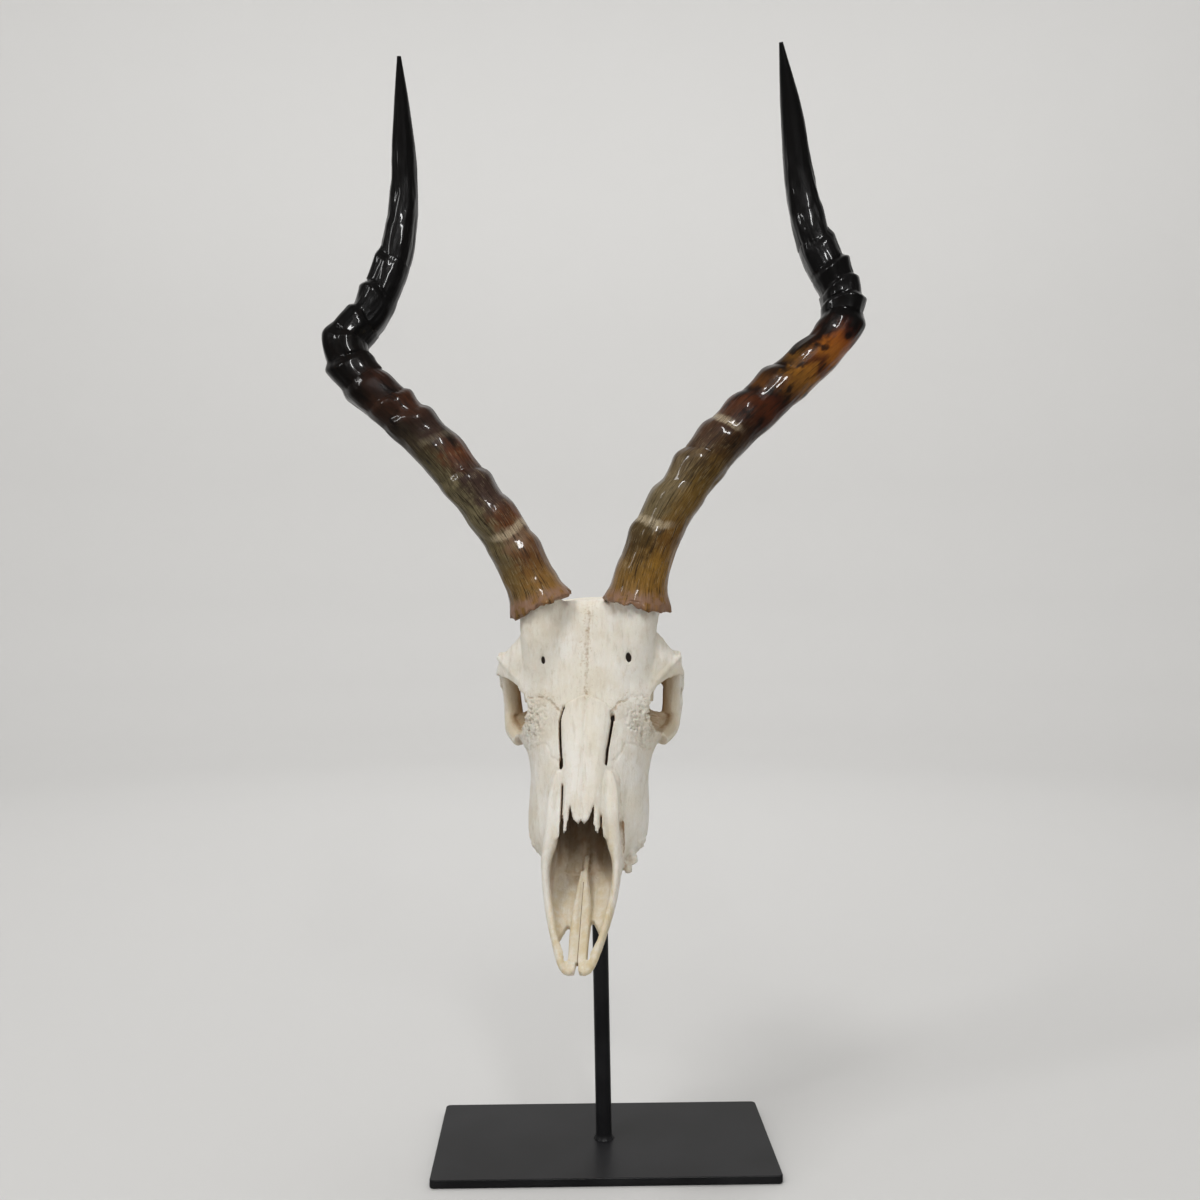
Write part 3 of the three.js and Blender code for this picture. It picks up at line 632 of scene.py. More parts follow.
def tooth_outline(tooth, side, level, scale, grow, samples=6):
    """Outline of a tooth at one level, as a rounded oblong."""
    length, width, u, x, _ = tooth
    a = scale * width / 2 + grow
    b = scale * (length / 2 - TOOTH_GAP) + grow
    angle = np.linspace(0, 2 * np.pi, 8 * samples, endpoint=False)
    squared = (np.abs(np.cos(angle)) ** 4 + np.abs(np.sin(angle)) ** 4) ** -0.25
    return np.stack([side * x + np.cos(angle) * squared * a, u + np.sin(angle) * squared * b,
                     np.full(len(angle), float(level))], axis=1)


def socket_cut(tooth, side):
    """Room for a tooth in the jaw."""
    rings = [tooth_outline(tooth, side, level, 0.9, 0.25) for level in (TOOTH_LEVELS[0] + 0.4, 2, -4)]
    return loft("socket", np.array(rings))


def build_skull_solid():
    """Solid of the skull after joining and cutting."""
    skull = skull_body()
    steps = []
    for side in (1, -1):
        steps += [("-", piece) for piece in orbit_cuts(side)]
        steps += [("+", piece) for piece in orbit_joins(side) + underside_joins(side)]
    steps += [("+", pedicle(side)) for side in (1, -1)]
    steps += [("-", horn_room(side)) for side in (1, -1)]
    steps += [("-", piece) for piece in nose_cuts()]
    steps += [("+", piece) for piece in pair(premaxilla) + nose_joins()]
    for side in (1, -1):
        steps += [("-", piece) for piece in hole_cuts(side)]
        steps += [("-", socket_cut(tooth, side)) for tooth in TEETH.values()]
    steps.append(("-", spongy_slit()))
    notch = [(-1.3, -3), (-0.8, 4), (-0.5, 9), (0.5, 9), (0.8, 4), (1.3, -3)]
    steps.append(("-", prism(notch, (-3, 14))))
    steps.append(("-", limb([(0, 266, 29, 8, 7.5), (0, 240, 30, 7.5, 7)], sides=32)))
    bring_together(skull, steps)
    return skull


def under_horns(skull):
    """Height of each vertex above the plane of the horn's base on its side."""
    co = coordinates(skull.data)
    heights = []
    for side in (1, -1):
        base, axis = horn_axis(side)
        heights.append((co - base) @ axis)
    return np.where(co[:, 0] > 0, heights[0], heights[1])


def both_sides(seams):
    """Lines of points, and the same mirrored for those that aren't on the middle."""
    lines = [np.asarray(points, float) for points in seams.values()]
    return lines + [points * [-1, 1, 1] for points in lines if np.abs(points[:, 0]).max() > 2]


def seam_distance(mesh, co, lines, wander):
    """Distance of each vertex to the nearest of some lines on the skin, which wander a little."""
    tree = BVHTree.FromPolygons([tuple(p) for p in co], [tuple(p.vertices) for p in mesh.polygons])
    places = []
    for points in lines:
        dense = cubic_curve(points, 160)
        slow = np.stack([grain(dense, 3.0, 2, shift) for shift in (0.3, 5.7, 9.1)], axis=1)
        quick = np.stack([grain(dense, 0.9, 2, shift) for shift in (2.3, 7.7, 4.1)], axis=1)
        places += [tree.find_nearest(Vector(p))[0] for p in dense + wander * (slow + 0.6 * quick)]
    nearest = KDTree(len(places))
    for index, place in enumerate(places):
        nearest.insert(place, index)
    nearest.balance()
    return np.array([nearest.find(p)[2] for p in co])


def slit_distance(x, u, points):
    """Distance of each vertex to a line of points, seen from above."""
    places = np.stack([x, u], axis=1)
    nearest = np.full(len(x), 1e3)
    for start, end in zip(np.array(points, float), np.array(points[1:], float)):
        way = end - start
        part = np.clip((places - start) @ way / (way @ way), 0, 1)
        nearest = np.minimum(nearest, np.hypot(*(places - start - part[:, None] * way).T))
    return nearest


def enclosure(mesh, co, reach):
    """How closed in each vertex is, from 0 in the open to 1, by looking out along a few directions."""
    tree = BVHTree.FromPolygons([tuple(p) for p in co], [tuple(p.vertices) for p in mesh.polygons])
    count = 14
    index = np.arange(count) + 0.5
    polar = np.arccos(1 - index / count * 0.85)
    turn = np.pi * (1 + 5 ** 0.5) * index
    looks = np.stack([np.cos(turn) * np.sin(polar), np.sin(turn) * np.sin(polar), np.cos(polar)], axis=1)
    found = np.zeros(len(co))
    for number, (place, normal) in enumerate(zip(co, normals(mesh))):
        up = Vector(normal)
        turned = up.to_track_quat("Z", "Y").to_matrix()
        start = Vector(place) + up * 0.4
        hits = sum(tree.ray_cast(start, turned @ Vector(look), reach)[0] is not None for look in looks)
        found[number] = hits / count
    return found


def crinkled(wide, u, v):
    """How strongly the bone in front of the eye sockets is crinkled, from 0 to 1."""
    return np.exp(-(((wide - 32) / 11) ** 2 + ((u - 134) / 12) ** 2 + ((v - 50) / 15) ** 2) ** 2)


def in_orbit(mesh, co):
    """How far each vertex is a wall of an eye socket that looks to its middle, from 0 to 1."""
    x = co[:, 0]
    side = np.stack([np.sign(x), 0 * x + 1, 0 * x + 1], axis=1)
    inward = ORBIT_CENTRE * side - co
    facing = (inward * normals(mesh)).sum(axis=1) / (np.linalg.norm(inward, axis=1) + 1e-6)
    away = np.linalg.norm(inward / ORBIT_RADII, axis=1)
    return smooth(1.32, 1.12, away) * smooth(54, 48, np.abs(x)) * smooth(0.1, 0.4, facing)


def sculpt_skull(skull, settings):
    """Relief of the bones: raised nasals, crinkled lacrimals, seams, grooves under the horns."""
    mesh = skull.data
    co = coordinates(mesh)
    x, u, v = co.T
    wide = np.abs(x)
    facing = normals(mesh)
    upward = smooth(0.1, 0.5, facing[:, 2])
    lift = 0.25 * grain(co, 14, 2) + 0.06 * grain(co, 2.2, 2)
    nasal_half = monotone(u, [60, 80, 86, 100, 115, 127, 134, 140],
                          [9.5, 9.8, 9.7, 11.8, 13, 14.9, 12.3, 0.5])
    on_nasal = smooth(0.4, -0.8, wide - nasal_half) * smooth(60, 62, u) * smooth(141, 138, u) * upward
    to_edge = smooth(0.55, 1.0, wide / np.maximum(nasal_half, 1))
    lift += on_nasal * (1.5 - 0.7 * bump(x, 0, 1.0) - 1.0 * to_edge)
    lift -= 1.1 * bump(wide, nasal_half + 3.5, 4) * smooth(92, 104, u) * smooth(134, 126, u) * upward
    crinkle = crinkled(wide, u, v)
    folds = 1 - 2.4 * np.abs(grain(co, (4.2, 1.7, 1.7), 3, 1.7))
    lift += crinkle * 0.7 * folds
    groove = grain(co * [1, 0.12, 0.3], 1.4, 2, 3.1)
    near_horn = smooth(168, 186, u) * smooth(60, 72, v) * smooth(12, 20, wide)
    lift += 0.5 * near_horn * groove
    gutter = bump(wide, 24.5 - (u - 160) * 0.02, 3) * smooth(128, 140, u) * smooth(164, 157, u) * upward
    lift -= 0.7 * gutter
    lift -= 1.0 * bump(wide, 22.5, 2.6) * smooth(58, 70, u) * smooth(106, 92, u)
    cheek_ridge = bump(wide, 28 - (u - 100) * 0.05, 4) * bump(v, 34, 12)
    lift += 0.9 * cheek_ridge * smooth(88, 104, u) * smooth(142, 124, u)
    move_vertices(mesh, co + facing * lift[:, None])
    co = coordinates(mesh)
    brown = bump(seam_distance(mesh, co, both_sides(BROWN_SEAMS), 0.9), 0, 0.6)
    faint = bump(seam_distance(mesh, co, both_sides(FAINT_SEAMS), 0.5), 0, 0.7)
    lift = -settings.seam_depth * MM_PER_METRE * (0.7 * brown + 0.8 * faint)
    ragged = smooth(92, 80, u) * smooth(18, 10, v) * smooth(19, 23, wide) * np.where(x > 0, 1.0, 0.5)
    lift += 1.7 * grain(co, 2.4, 2, 6.6) * ragged
    upward = smooth(0.1, 0.5, normals(mesh)[:, 2])
    sunk = np.zeros(len(co))
    for level, half, depth, points in SLITS:
        near = depth * smooth(half + 0.45, half - 0.2, slit_distance(co[:, 0], co[:, 1], points))
        sunk = np.maximum(sunk, near * upward * smooth(level - 1, level + 1, co[:, 2]))
    co = co + normals(mesh) * lift[:, None]
    co[:, 2] -= sunk
    co[:, 0] -= settings.bend * MM_PER_METRE * smooth(95, 5, co[:, 1])
    move_vertices(mesh, co)


def write_stains_and_shade(skull, bend):
    """Values that the bone's finish reads: seams, closed-in places and socket walls for painted shade, and
    the region's tone.
    """
    mesh = skull.data
    co = coordinates(mesh)
    x, u, v = co.T
    straight = co + np.stack([bend * MM_PER_METRE * smooth(95, 5, u), 0 * u, 0 * u], axis=1)
    for name, lines, wander in (("seam", BROWN_SEAMS, 0.9), ("faint", FAINT_SEAMS, 0.5)):
        distance = seam_distance(mesh, straight, both_sides(lines), wander)
        write_values(mesh, name, np.minimum(distance, 8) / 8)
    write_values(mesh, "plan", straight)
    # Walls of the eye sockets, which the finish paints with tan shade.
    in_socket = in_orbit(mesh, co)
    write_values(mesh, "socket", in_socket)
    inside_nose = smooth(18, 16, np.abs(x)) * smooth(130, 100, u) * smooth(42, 36, v)
    # Painted shade: how closed in each vertex is, less at the front of the nose, plus the downward faces of
    # the socket walls.
    closed = enclosure(mesh, co, SKULL_OUTLOOK) * (1 - 0.45 * inside_nose * smooth(75, 45, u))
    shade_under_socket_rims = 0.4 * in_socket * smooth(0.1, -0.4, normals(mesh)[:, 2])
    write_values(mesh, "hollow", np.clip(closed + shade_under_socket_rims, 0, 1))
    yellow = 0.6 * smooth(40, 5, u) + 0.8 * smooth(95, 50, u) * inside_nose
    yellow += 0.6 * bump(np.abs(x), 46, 9) * bump(u, 150, 22) * bump(v, 44, 24)
    write_values(mesh, "yellow", np.clip(yellow, 0, 1))
    write_values(mesh, "crinkle", crinkled(np.abs(x), u, v))


def build_skull(settings):
    """Skull without its teeth and horns."""
    skull = build_skull_solid()
    remesh(skull, settings.voxel * MM_PER_METRE, SKIN_ROUNDS)
    x, u, v = coordinates(skull.data).T
    brow = smooth(142, 154, u) * smooth(206, 196, u) * smooth(62, 70, v) * smooth(38, 33, np.abs(x))
    relax(skull, brow * smooth(0.5, -3.0, under_horns(skull)), BROW_ROUNDS)
    sculpt_skull(skull, settings)
    thin_out(skull, settings.triangles)
    write_stains_and_shade(skull, settings.bend)
    skull.name = "skull_bone"
    place_piece(skull, skull_place(settings), bone_finish(settings), "skull")


# Horns

def horn_frames(path, step):
    """Middle line of a horn at even steps, with its sideways and backward directions and half thickness."""
    path = np.asarray(path, float)
    fine = cubic_curve(path[:, :3], 40)
    lengths = np.concatenate([[0], np.cumsum(np.linalg.norm(np.diff(fine, axis=0), axis=1))])
    distance = np.linspace(0, lengths[-1], int(lengths[-1] / step))
    middle = np.stack([np.interp(distance, lengths, fine[:, axis]) for axis in range(3)], axis=1)
    stop = np.arange(len(fine)) / 40
    radius = monotone(np.interp(distance, lengths, stop), np.arange(len(path)), path[:, 3])
    tangent = np.gradient(middle, axis=0)
    for _ in range(30):
        tangent[1:-1] = (tangent[:-2] + 2 * tangent[1:-1] + tangent[2:]) / 4
    tangent /= np.linalg.norm(tangent, axis=1, keepdims=True)
    back = np.cross(tangent, [1.0, 0, 0])
    back /= np.linalg.norm(back, axis=1, keepdims=True)
    return distance, middle, np.cross(back, tangent), back, radius


def ring_place(distance, angle, side):
    """Distance from the base as the rings count it, which run aslant and waver around the horn."""
    slant = 3.4 * np.cos(angle) * side + 1.5 * np.sin(angle)
    wave = 1.2 * np.sin(2 * angle + distance * 0.05)
    return distance - slant - wave - 0.7 * np.sin(3 * angle - distance * 0.08)


def ring_relief(distance, angle, horn):
    """How far a horn's rings stand out: rounded and inside at first, then cups that open to the tip."""
    place = ring_place(distance, angle, horn["side"])
    outer = 0.5 + 0.5 * np.cos(angle) * horn["side"]
    front = 0.5 - 0.5 * np.sin(angle)
    rings = np.array([0, *horn["rings"], horn["rings"][-1] + 40.0])
    index = np.clip(np.searchsorted(rings, place) - 1, 0, len(rings) - 2)
    part = np.clip((place - rings[index]) / (rings[index + 1] - rings[index]), 0, 1)
    late = smooth(horn["cups"] - 14, horn["cups"] + 8, place)
    fade = smooth(rings[-2] + 12, rings[-2] - 45, place)
    varied = 1 + 0.25 * np.sin(index * 2.3 + 1.1)
    rounded = np.sin(np.pi * part ** 1.8) ** 1.4 - 0.35
    cup = part ** 1.3 * smooth(1.0, 0.66, part) - 0.25
    facets = 0.45 * np.cos(3 * angle + index * 1.7) + 0.3 * np.cos(5 * angle - index * 2.1)
    inside = 1.5 * rounded * (0.22 + 0.9 * (1 - outer) + 0.3 * front) * smooth(8, 40, place)
    outside = 3.0 * cup * (0.15 + 1.1 * outer + 0.15 * front) + facets
    return varied * fade * (inside * (1 - late) + outside * late)


def build_horn(name, horn, settings, skull_settings):
    """One horn: rings that lap towards the tip, fibres along it and a crusty edge at its base."""
    distance, middle, sideways, back, radius = horn_frames(horn["path"], HORN_STEP)
    angle = np.linspace(0, 2 * np.pi, HORN_SIDES, endpoint=False)
    along = distance[:, None] + 0 * angle[None]
    around = angle[None] + 0 * distance[:, None]
    turned = np.stack([np.cos(around) * HORN_HALF, np.sin(around) * HORN_HALF, along], axis=-1)
    turned = turned.reshape(-1, 3)
    if horn["side"] < 0:
        turned = turned + [37.0, 11.0, 0]
    relief = settings.ring_height * MM_PER_METRE / 2 * ring_relief(along, around, horn)
    fade = smooth(distance[-1], distance[-1] * 0.72, along)
    fibres = grain(turned * [1, 1, 0.05], 1.5, 2).reshape(along.shape)
    lumps = grain(turned, (9, 9, 16), 2, 2.2).reshape(along.shape)
    dents = grain(turned * [1, 1, 0.45], 4.5, 2, 8.8).reshape(along.shape)
    relief = relief + fade * (0.14 * fibres + 0.5 * lumps + 0.28 * dents)
    crust = grain(turned, 3.0, 3, 4.4).reshape(along.shape)
    foot = smooth(9, 0, along)
    relief = relief + foot * (settings.flare * MM_PER_METRE + 1.5 * crust) - 1.2 * smooth(1.4, 0, along)
    size = np.maximum(radius[:, None] + relief, 0.35)
    squash = 1 - 0.05 * fade * (0.5 + 0.5 * np.cos(2 * around))
    rings = (middle[:, None] + sideways[:, None] * (size * squash * np.cos(around))[..., None]
             + back[:, None] * (size * np.sin(around))[..., None])
    first = middle[1] - middle[0]
    first = first / np.linalg.norm(first)
    outer = 0.5 + 0.5 * np.cos(around) * horn["side"]
    droop = -(1.2 + 1.6 * outer + 2.0 * crust) * smooth(10, 0, along)
    rings = rings + first * droop[..., None]
    piece = loft(name, rings)
    co = coordinates(piece.data)
    write_horn_values(piece.data, co, distance, middle, sideways, back, horn["side"])
    place_piece(piece, skull_place(skull_settings), horn_finish(name, horn["side"], settings),
                "horn_left" if horn["side"] > 0 else "horn_right")


def write_horn_values(mesh, co, distance, middle, sideways, back, side):
    """Distance from the base and a coordinate that follows the fibres, for the horn's finish."""
    nearest = KDTree(len(middle))
    for index, place in enumerate(middle):
        nearest.insert(place, index)
    nearest.balance()
    index = np.array([nearest.find(p)[1] for p in co])
    offset = co - middle[index]
    across = (offset * sideways[index]).sum(axis=1)
    behind = (offset * back[index]).sum(axis=1)
    size = np.hypot(across, behind) + 1e-6
    rings = ring_place(distance[index], np.arctan2(behind, across), side)
    write_values(mesh, "along", distance[index] / distance[-1])
    write_values(mesh, "ring", rings / distance[-1])
    write_values(mesh, "outer", across / size * side)
    fibre = np.stack([across / size, behind / size, distance[index] / HORN_HALF], axis=1)
    write_values(mesh, "fibre", fibre)


# Teeth

def tooth_rings(tooth, side):
    """Rings of a cheek tooth: root, ribbed crown and the worn crescents of its grinding face."""
    length, width, u, x, lobes = tooth
    top, crown = TOOTH_LEVELS
    rings = []
    for level in np.linspace(top, crown, 24):
        part = (level - top) / (crown - top)
        scale = 0.84 + 0.11 * smooth(0.1, 0.7, part) - 0.05 * smooth(0.93, 1, part)
        ring = tooth_outline(tooth, side, level, scale, 0)
        offset = ring - [side * x, u, 0]
        phase = offset[:, 1] / length
        outward = np.sign(offset[:, 0]) * side
        groove = np.abs(np.cos(np.pi * lobes * (phase + 0.5)))
        pull = (0.55 + 0.5 * (outward < 0)) * (1 - groove) ** 2 if lobes > 1 else 0.25 * (1 - groove)
        rib = 0.28 * np.cos(2 * np.pi * (lobes * 2) * (phase + 0.5)) * (outward > 0)
        strength = smooth(0.05, 0.35, part)
        ring[:, 0] += -np.sign(offset[:, 0]) * pull * strength + side * outward * rib * strength
        rings.append(ring)
    edge = rings[-1].copy()
    for inward in np.linspace(0.94, 0.06, 14):
        ring = edge.copy()
        ring[:, :2] = [side * x, u] + (edge[:, :2] - [side * x, u]) * inward
        across = (ring[:, 0] - side * x) * side / width
        phase = (ring[:, 1] - u) / length * lobes + (0.5 if lobes > 1 else 0)
        place = phase - np.floor(phase) - 0.5 if lobes > 1 else phase
        crescent = bump(across + 0.12 - 0.9 * place ** 2, 0, 0.075) * smooth(0.46, 0.3, np.abs(place))
        slope = 1.5 * (across + 0.1)
        dip = 0.5 * bump(across - 0.28, 0, 0.09)
        ring[:, 2] = crown - slope * smooth(1, 0.8, inward) + 1.9 * crescent - dip
        rings.append(ring)
    return np.array(rings)


def build_tooth(name, tooth, side, skull_settings, material):
    """One cheek tooth in its socket."""
    piece = loft(name, tooth_rings(tooth, side))
    co = coordinates(piece.data)
    lift = 0.07 * grain(co, 1.6, 2)
    move_vertices(piece.data, co + normals(piece.data) * lift[:, None])
    co = coordinates(piece.data)
    write_values(piece.data, "level", smooth(TOOTH_LEVELS[0], TOOTH_LEVELS[1], co[:, 2]))
    # How closed in each place is, which the enamel's finish paints as shade.
    write_values(piece.data, "hollow", enclosure(piece.data, co, TOOTH_OUTLOOK))
    smoother = piece.modifiers.new("smoother", "SUBSURF")
    smoother.levels = smoother.render_levels = 1
    apply_modifiers(piece)
    place_piece(piece, skull_place(skull_settings), material, name)


# Stand

def build_plate(settings, material):
    """Plate with rounded corners and softened edges."""
    low, high = PLATE_LOW, PLATE_HIGH
    bm = bmesh.new()
    centre = Matrix.Translation((low + high) / 2)
    bmesh.ops.create_cube(bm, size=1, matrix=centre @ Matrix.Diagonal((*(high - low), 1)))
    upright = [e for e in bm.edges if abs(e.verts[0].co.z - e.verts[1].co.z) > settings.thickness / 2]
    bmesh.ops.bevel(bm, geom=upright, offset=settings.corner, segments=8, profile=0.5, affect="EDGES",
                    material=-1)
    flat = [e for e in bm.edges if abs(e.verts[0].co.z - e.verts[1].co.z) < 1e-6
            and any(abs(f.normal.z) > 0.9 for f in e.link_faces)]
    bmesh.ops.bevel(bm, geom=flat, offset=settings.chamfer, segments=4, profile=0.5, affect="EDGES",
                    material=-1)
    for face in bm.faces:
        face.smooth = True
    piece = make_object("steel_plate", bm)
    crisp = piece.modifiers.new("crisp", "WEIGHTED_NORMAL")
    crisp.keep_sharp = True
    apply_modifiers(piece)
    dress_steel(piece, material, "base_plate")


def dress_steel(piece, material, node):
    """Finish and place of a steel piece."""
    piece.data.materials.clear()
    piece.data.materials.append(material)
    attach(piece, BODY)
    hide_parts(node)


def build_rod(settings, material):
    """Rod that leans a little, with the bead of its weld at the foot."""
    foot = PLATE_HIGH.z - 0.0001
    top = ROD_TOP
    heights = np.concatenate([np.linspace(0, 0.004, 9), np.linspace(0.006, top - foot, 60)])
    angle = np.linspace(0, 2 * np.pi, 48, endpoint=False)
    rings = []
    for height in heights:
        bead = settings.bead * max(0.0, 1 - height / 0.0034) ** 1.6
        ripple = 1 + 0.16 * np.sin(angle * 14 + 1.3) + 0.1 * np.sin(angle * 5 + 0.4)
        radius = settings.rod_radius + bead * ripple
        middle = -settings.lean * height / (top - foot)
        ring = np.stack([middle + radius * np.cos(angle), radius * np.sin(angle),
                         np.full(len(angle), foot + height)], axis=1)
        rings.append(ring)
    piece = loft("steel_rod", np.array(rings))
    piece.data.polygons.foreach_set("use_smooth", [True] * len(piece.data.polygons))
    dress_steel(piece, material, "rod")


# Finishes

class Socket:
    """Output of a node, or a number, that sums, products and powers can be written with."""

    def __init__(self, finish, output):
        self.finish = finish
        self.output = output

    def maths(self, operation, *others):
        inputs = [self.output, *[getattr(other, "output", other) for other in others]]
        return self.finish.node("ShaderNodeMath", {"operation": operation}, dict(enumerate(inputs)))

    def __add__(self, other):
        return self.maths("ADD", other)

    def __sub__(self, other):
        return self.maths("SUBTRACT", other)

    def __rsub__(self, other):
        return self.finish.number(other).maths("SUBTRACT", self)

    def __mul__(self, other):
        return self.maths("MULTIPLY", other)

    def __truediv__(self, other):
        return self.maths("DIVIDE", other)

    def __pow__(self, other):
        return self.maths("POWER", other)

    __radd__ = __add__
    __rmul__ = __mul__

    def clamp(self):
        """Between 0 and 1."""
        return self.maths("MINIMUM", 1.0).maths("MAXIMUM", 0.0)

    def ease(self, low, high):
        """0 at low, 1 at high and smooth between."""
        values = {"Value": self, "From Min": low, "From Max": high}
        return self.finish.node("ShaderNodeMapRange", {"interpolation_type": "SMOOTHSTEP"}, values)


class Finish:
    """Material built from nodes."""

    def __init__(self, name, **constants):
        self.material = bpy.data.materials.new(name)
        self.material.use_nodes = True
        self.tree = self.material.node_tree
        self.shader = self.tree.nodes["Principled BSDF"]
        for socket, value in constants.items():
            self.shader.inputs[socket.replace("_", " ")].default_value = value

    def node(self, kind, settings=None, inputs=None, output=0):
        """New node: its settings first, then the values or links of its sockets."""
        made = self.tree.nodes.new(kind)
        for name, value in (settings or {}).items():
            if name == "stops":
                self.set_stops(made.color_ramp, value)
            else:
                setattr(made, name, value)
        for name, value in (inputs or {}).items():
            value = getattr(value, "output", value)
            if isinstance(value, bpy.types.NodeSocket):
                self.tree.links.new(value, made.inputs[name])
            else:
                made.inputs[name].default_value = value
        return Socket(self, made.outputs[output])

    @staticmethod
    def set_stops(ramp, stops):
        """Gives a ramp its colours."""
        while len(ramp.elements) < len(stops):
            ramp.elements.new(1.0)
        for element, (place, colour) in zip(ramp.elements, stops):
            element.position = place
            element.color = (*colour, 1)

    def number(self, value):
        """Number as a socket."""
        return self.node("ShaderNodeMath", {"operation": "ADD"}, {0: value, 1: 0.0})

    def value(self, name):
        """Number stored on the vertices."""
        return self.node("ShaderNodeAttribute", {"attribute_name": name}, output="Fac")

    def vector(self, name):
        """Vector stored on the vertices."""
        return self.node("ShaderNodeAttribute", {"attribute_name": name}, output="Vector")

    def place(self):
        """Place on the piece, in metres."""
        return self.node("ShaderNodeTexCoord", output="Object")

    def stretched(self, vector, scale):
        """Vector scaled along each axis."""
        return self.node("ShaderNodeMapping", {}, {"Vector": vector, "Scale": scale})

    def noise(self, vector, scale, detail=3.0, distortion=0.0, roughness=0.5):
        """Smooth random number around 0.5."""
        return self.node("ShaderNodeTexNoise", {}, {"Vector": vector, "Scale": scale, "Detail": detail,
                                                    "Roughness": roughness, "Distortion": distortion})

    def cells(self, vector, scale, feature="F1"):
        """Distance to the nearest random point."""
        return self.node("ShaderNodeTexVoronoi", {"feature": feature}, {"Vector": vector, "Scale": scale},
                         output="Distance")

    def mix(self, factor, first, second):
        """Blend of two colours."""
        first = first if isinstance(first, Socket) else (*first, 1)
        second = second if isinstance(second, Socket) else (*second, 1)
        return self.node("ShaderNodeMix", {"data_type": "RGBA"}, {0: factor, 6: first, 7: second}, output=2)

    def ramp(self, factor, stops):
        """Colour along a ramp."""
        return self.node("ShaderNodeValToRGB", {"stops": stops}, {0: factor})

    def line_distance(self, place, points):
        """Distance of a place to a line of points."""
        nearest = None
        for start, end in zip(points, points[1:]):
            way = tuple(b - a for a, b in zip(start, end))
            offset = self.node("ShaderNodeVectorMath", {"operation": "SUBTRACT"}, {0: place, 1: start})
            dot = self.node("ShaderNodeVectorMath", {"operation": "DOT_PRODUCT"}, {0: offset, 1: way},
                            output="Value")
            part = (dot / sum(size * size for size in way)).clamp()
            foot = self.node("ShaderNodeVectorMath", {"operation": "SCALE"}, {0: way, "Scale": part})
            gap = self.node("ShaderNodeVectorMath", {"operation": "DISTANCE"}, {0: offset, 1: foot},
                            output="Value")
            nearest = gap if nearest is None else nearest.maths("MINIMUM", gap)
        return nearest

    def relief(self, height, strength, distance):
        """Fine relief that turns the light."""
        return self.node("ShaderNodeBump", {}, {"Height": height, "Strength": strength,
                                                "Distance": distance})

    def feed(self, **inputs):
        """Links values to the shader."""
        for socket, value in inputs.items():
            self.tree.links.new(value.output, self.shader.inputs[socket.replace("_", " ")])
        return self.material


def paint_opening_shade_and_seams(f, colour, plan, level, fine, broken):
    """Painted shade down the slits, gaps, pits and the spongy break, and the brown line between the strips.
    """
    above = f.stretched(plan, (1, 1, 0))
    wander = (fine - 0.5) * 0.5
    for lowest, half, _, points in SLITS:
        gap = f.line_distance(above, [(x, u, 0) for x, u in points]) + wander
        # Painted shade: near black down each slit, gap and pit, so that it reads as an opening.
        slit_shade = gap.ease(half + 0.12, half - 0.1) * level.ease(lowest - 1, lowest + 1)
        colour = f.mix(slit_shade, colour, (0.022, 0.013, 0.008))
    half, points = STRIP_SEAM
    gap = f.line_distance(above, [(x, u, 0) for x, u in points]) + wander
    line = gap.ease(half + 0.15, half - 0.15) * level.ease(21, 19)
    colour = f.mix(line * 0.8, colour, (0.20, 0.11, 0.05))
    # Painted shade: dark brown along the spongy break, as in its pores.
    gap = f.line_distance(plan, SPONGY_SEAM) + (broken - 0.5) * 3.0
    return f.mix(gap.ease(2.2, 1.3) * 0.75, colour, (0.11, 0.065, 0.035))


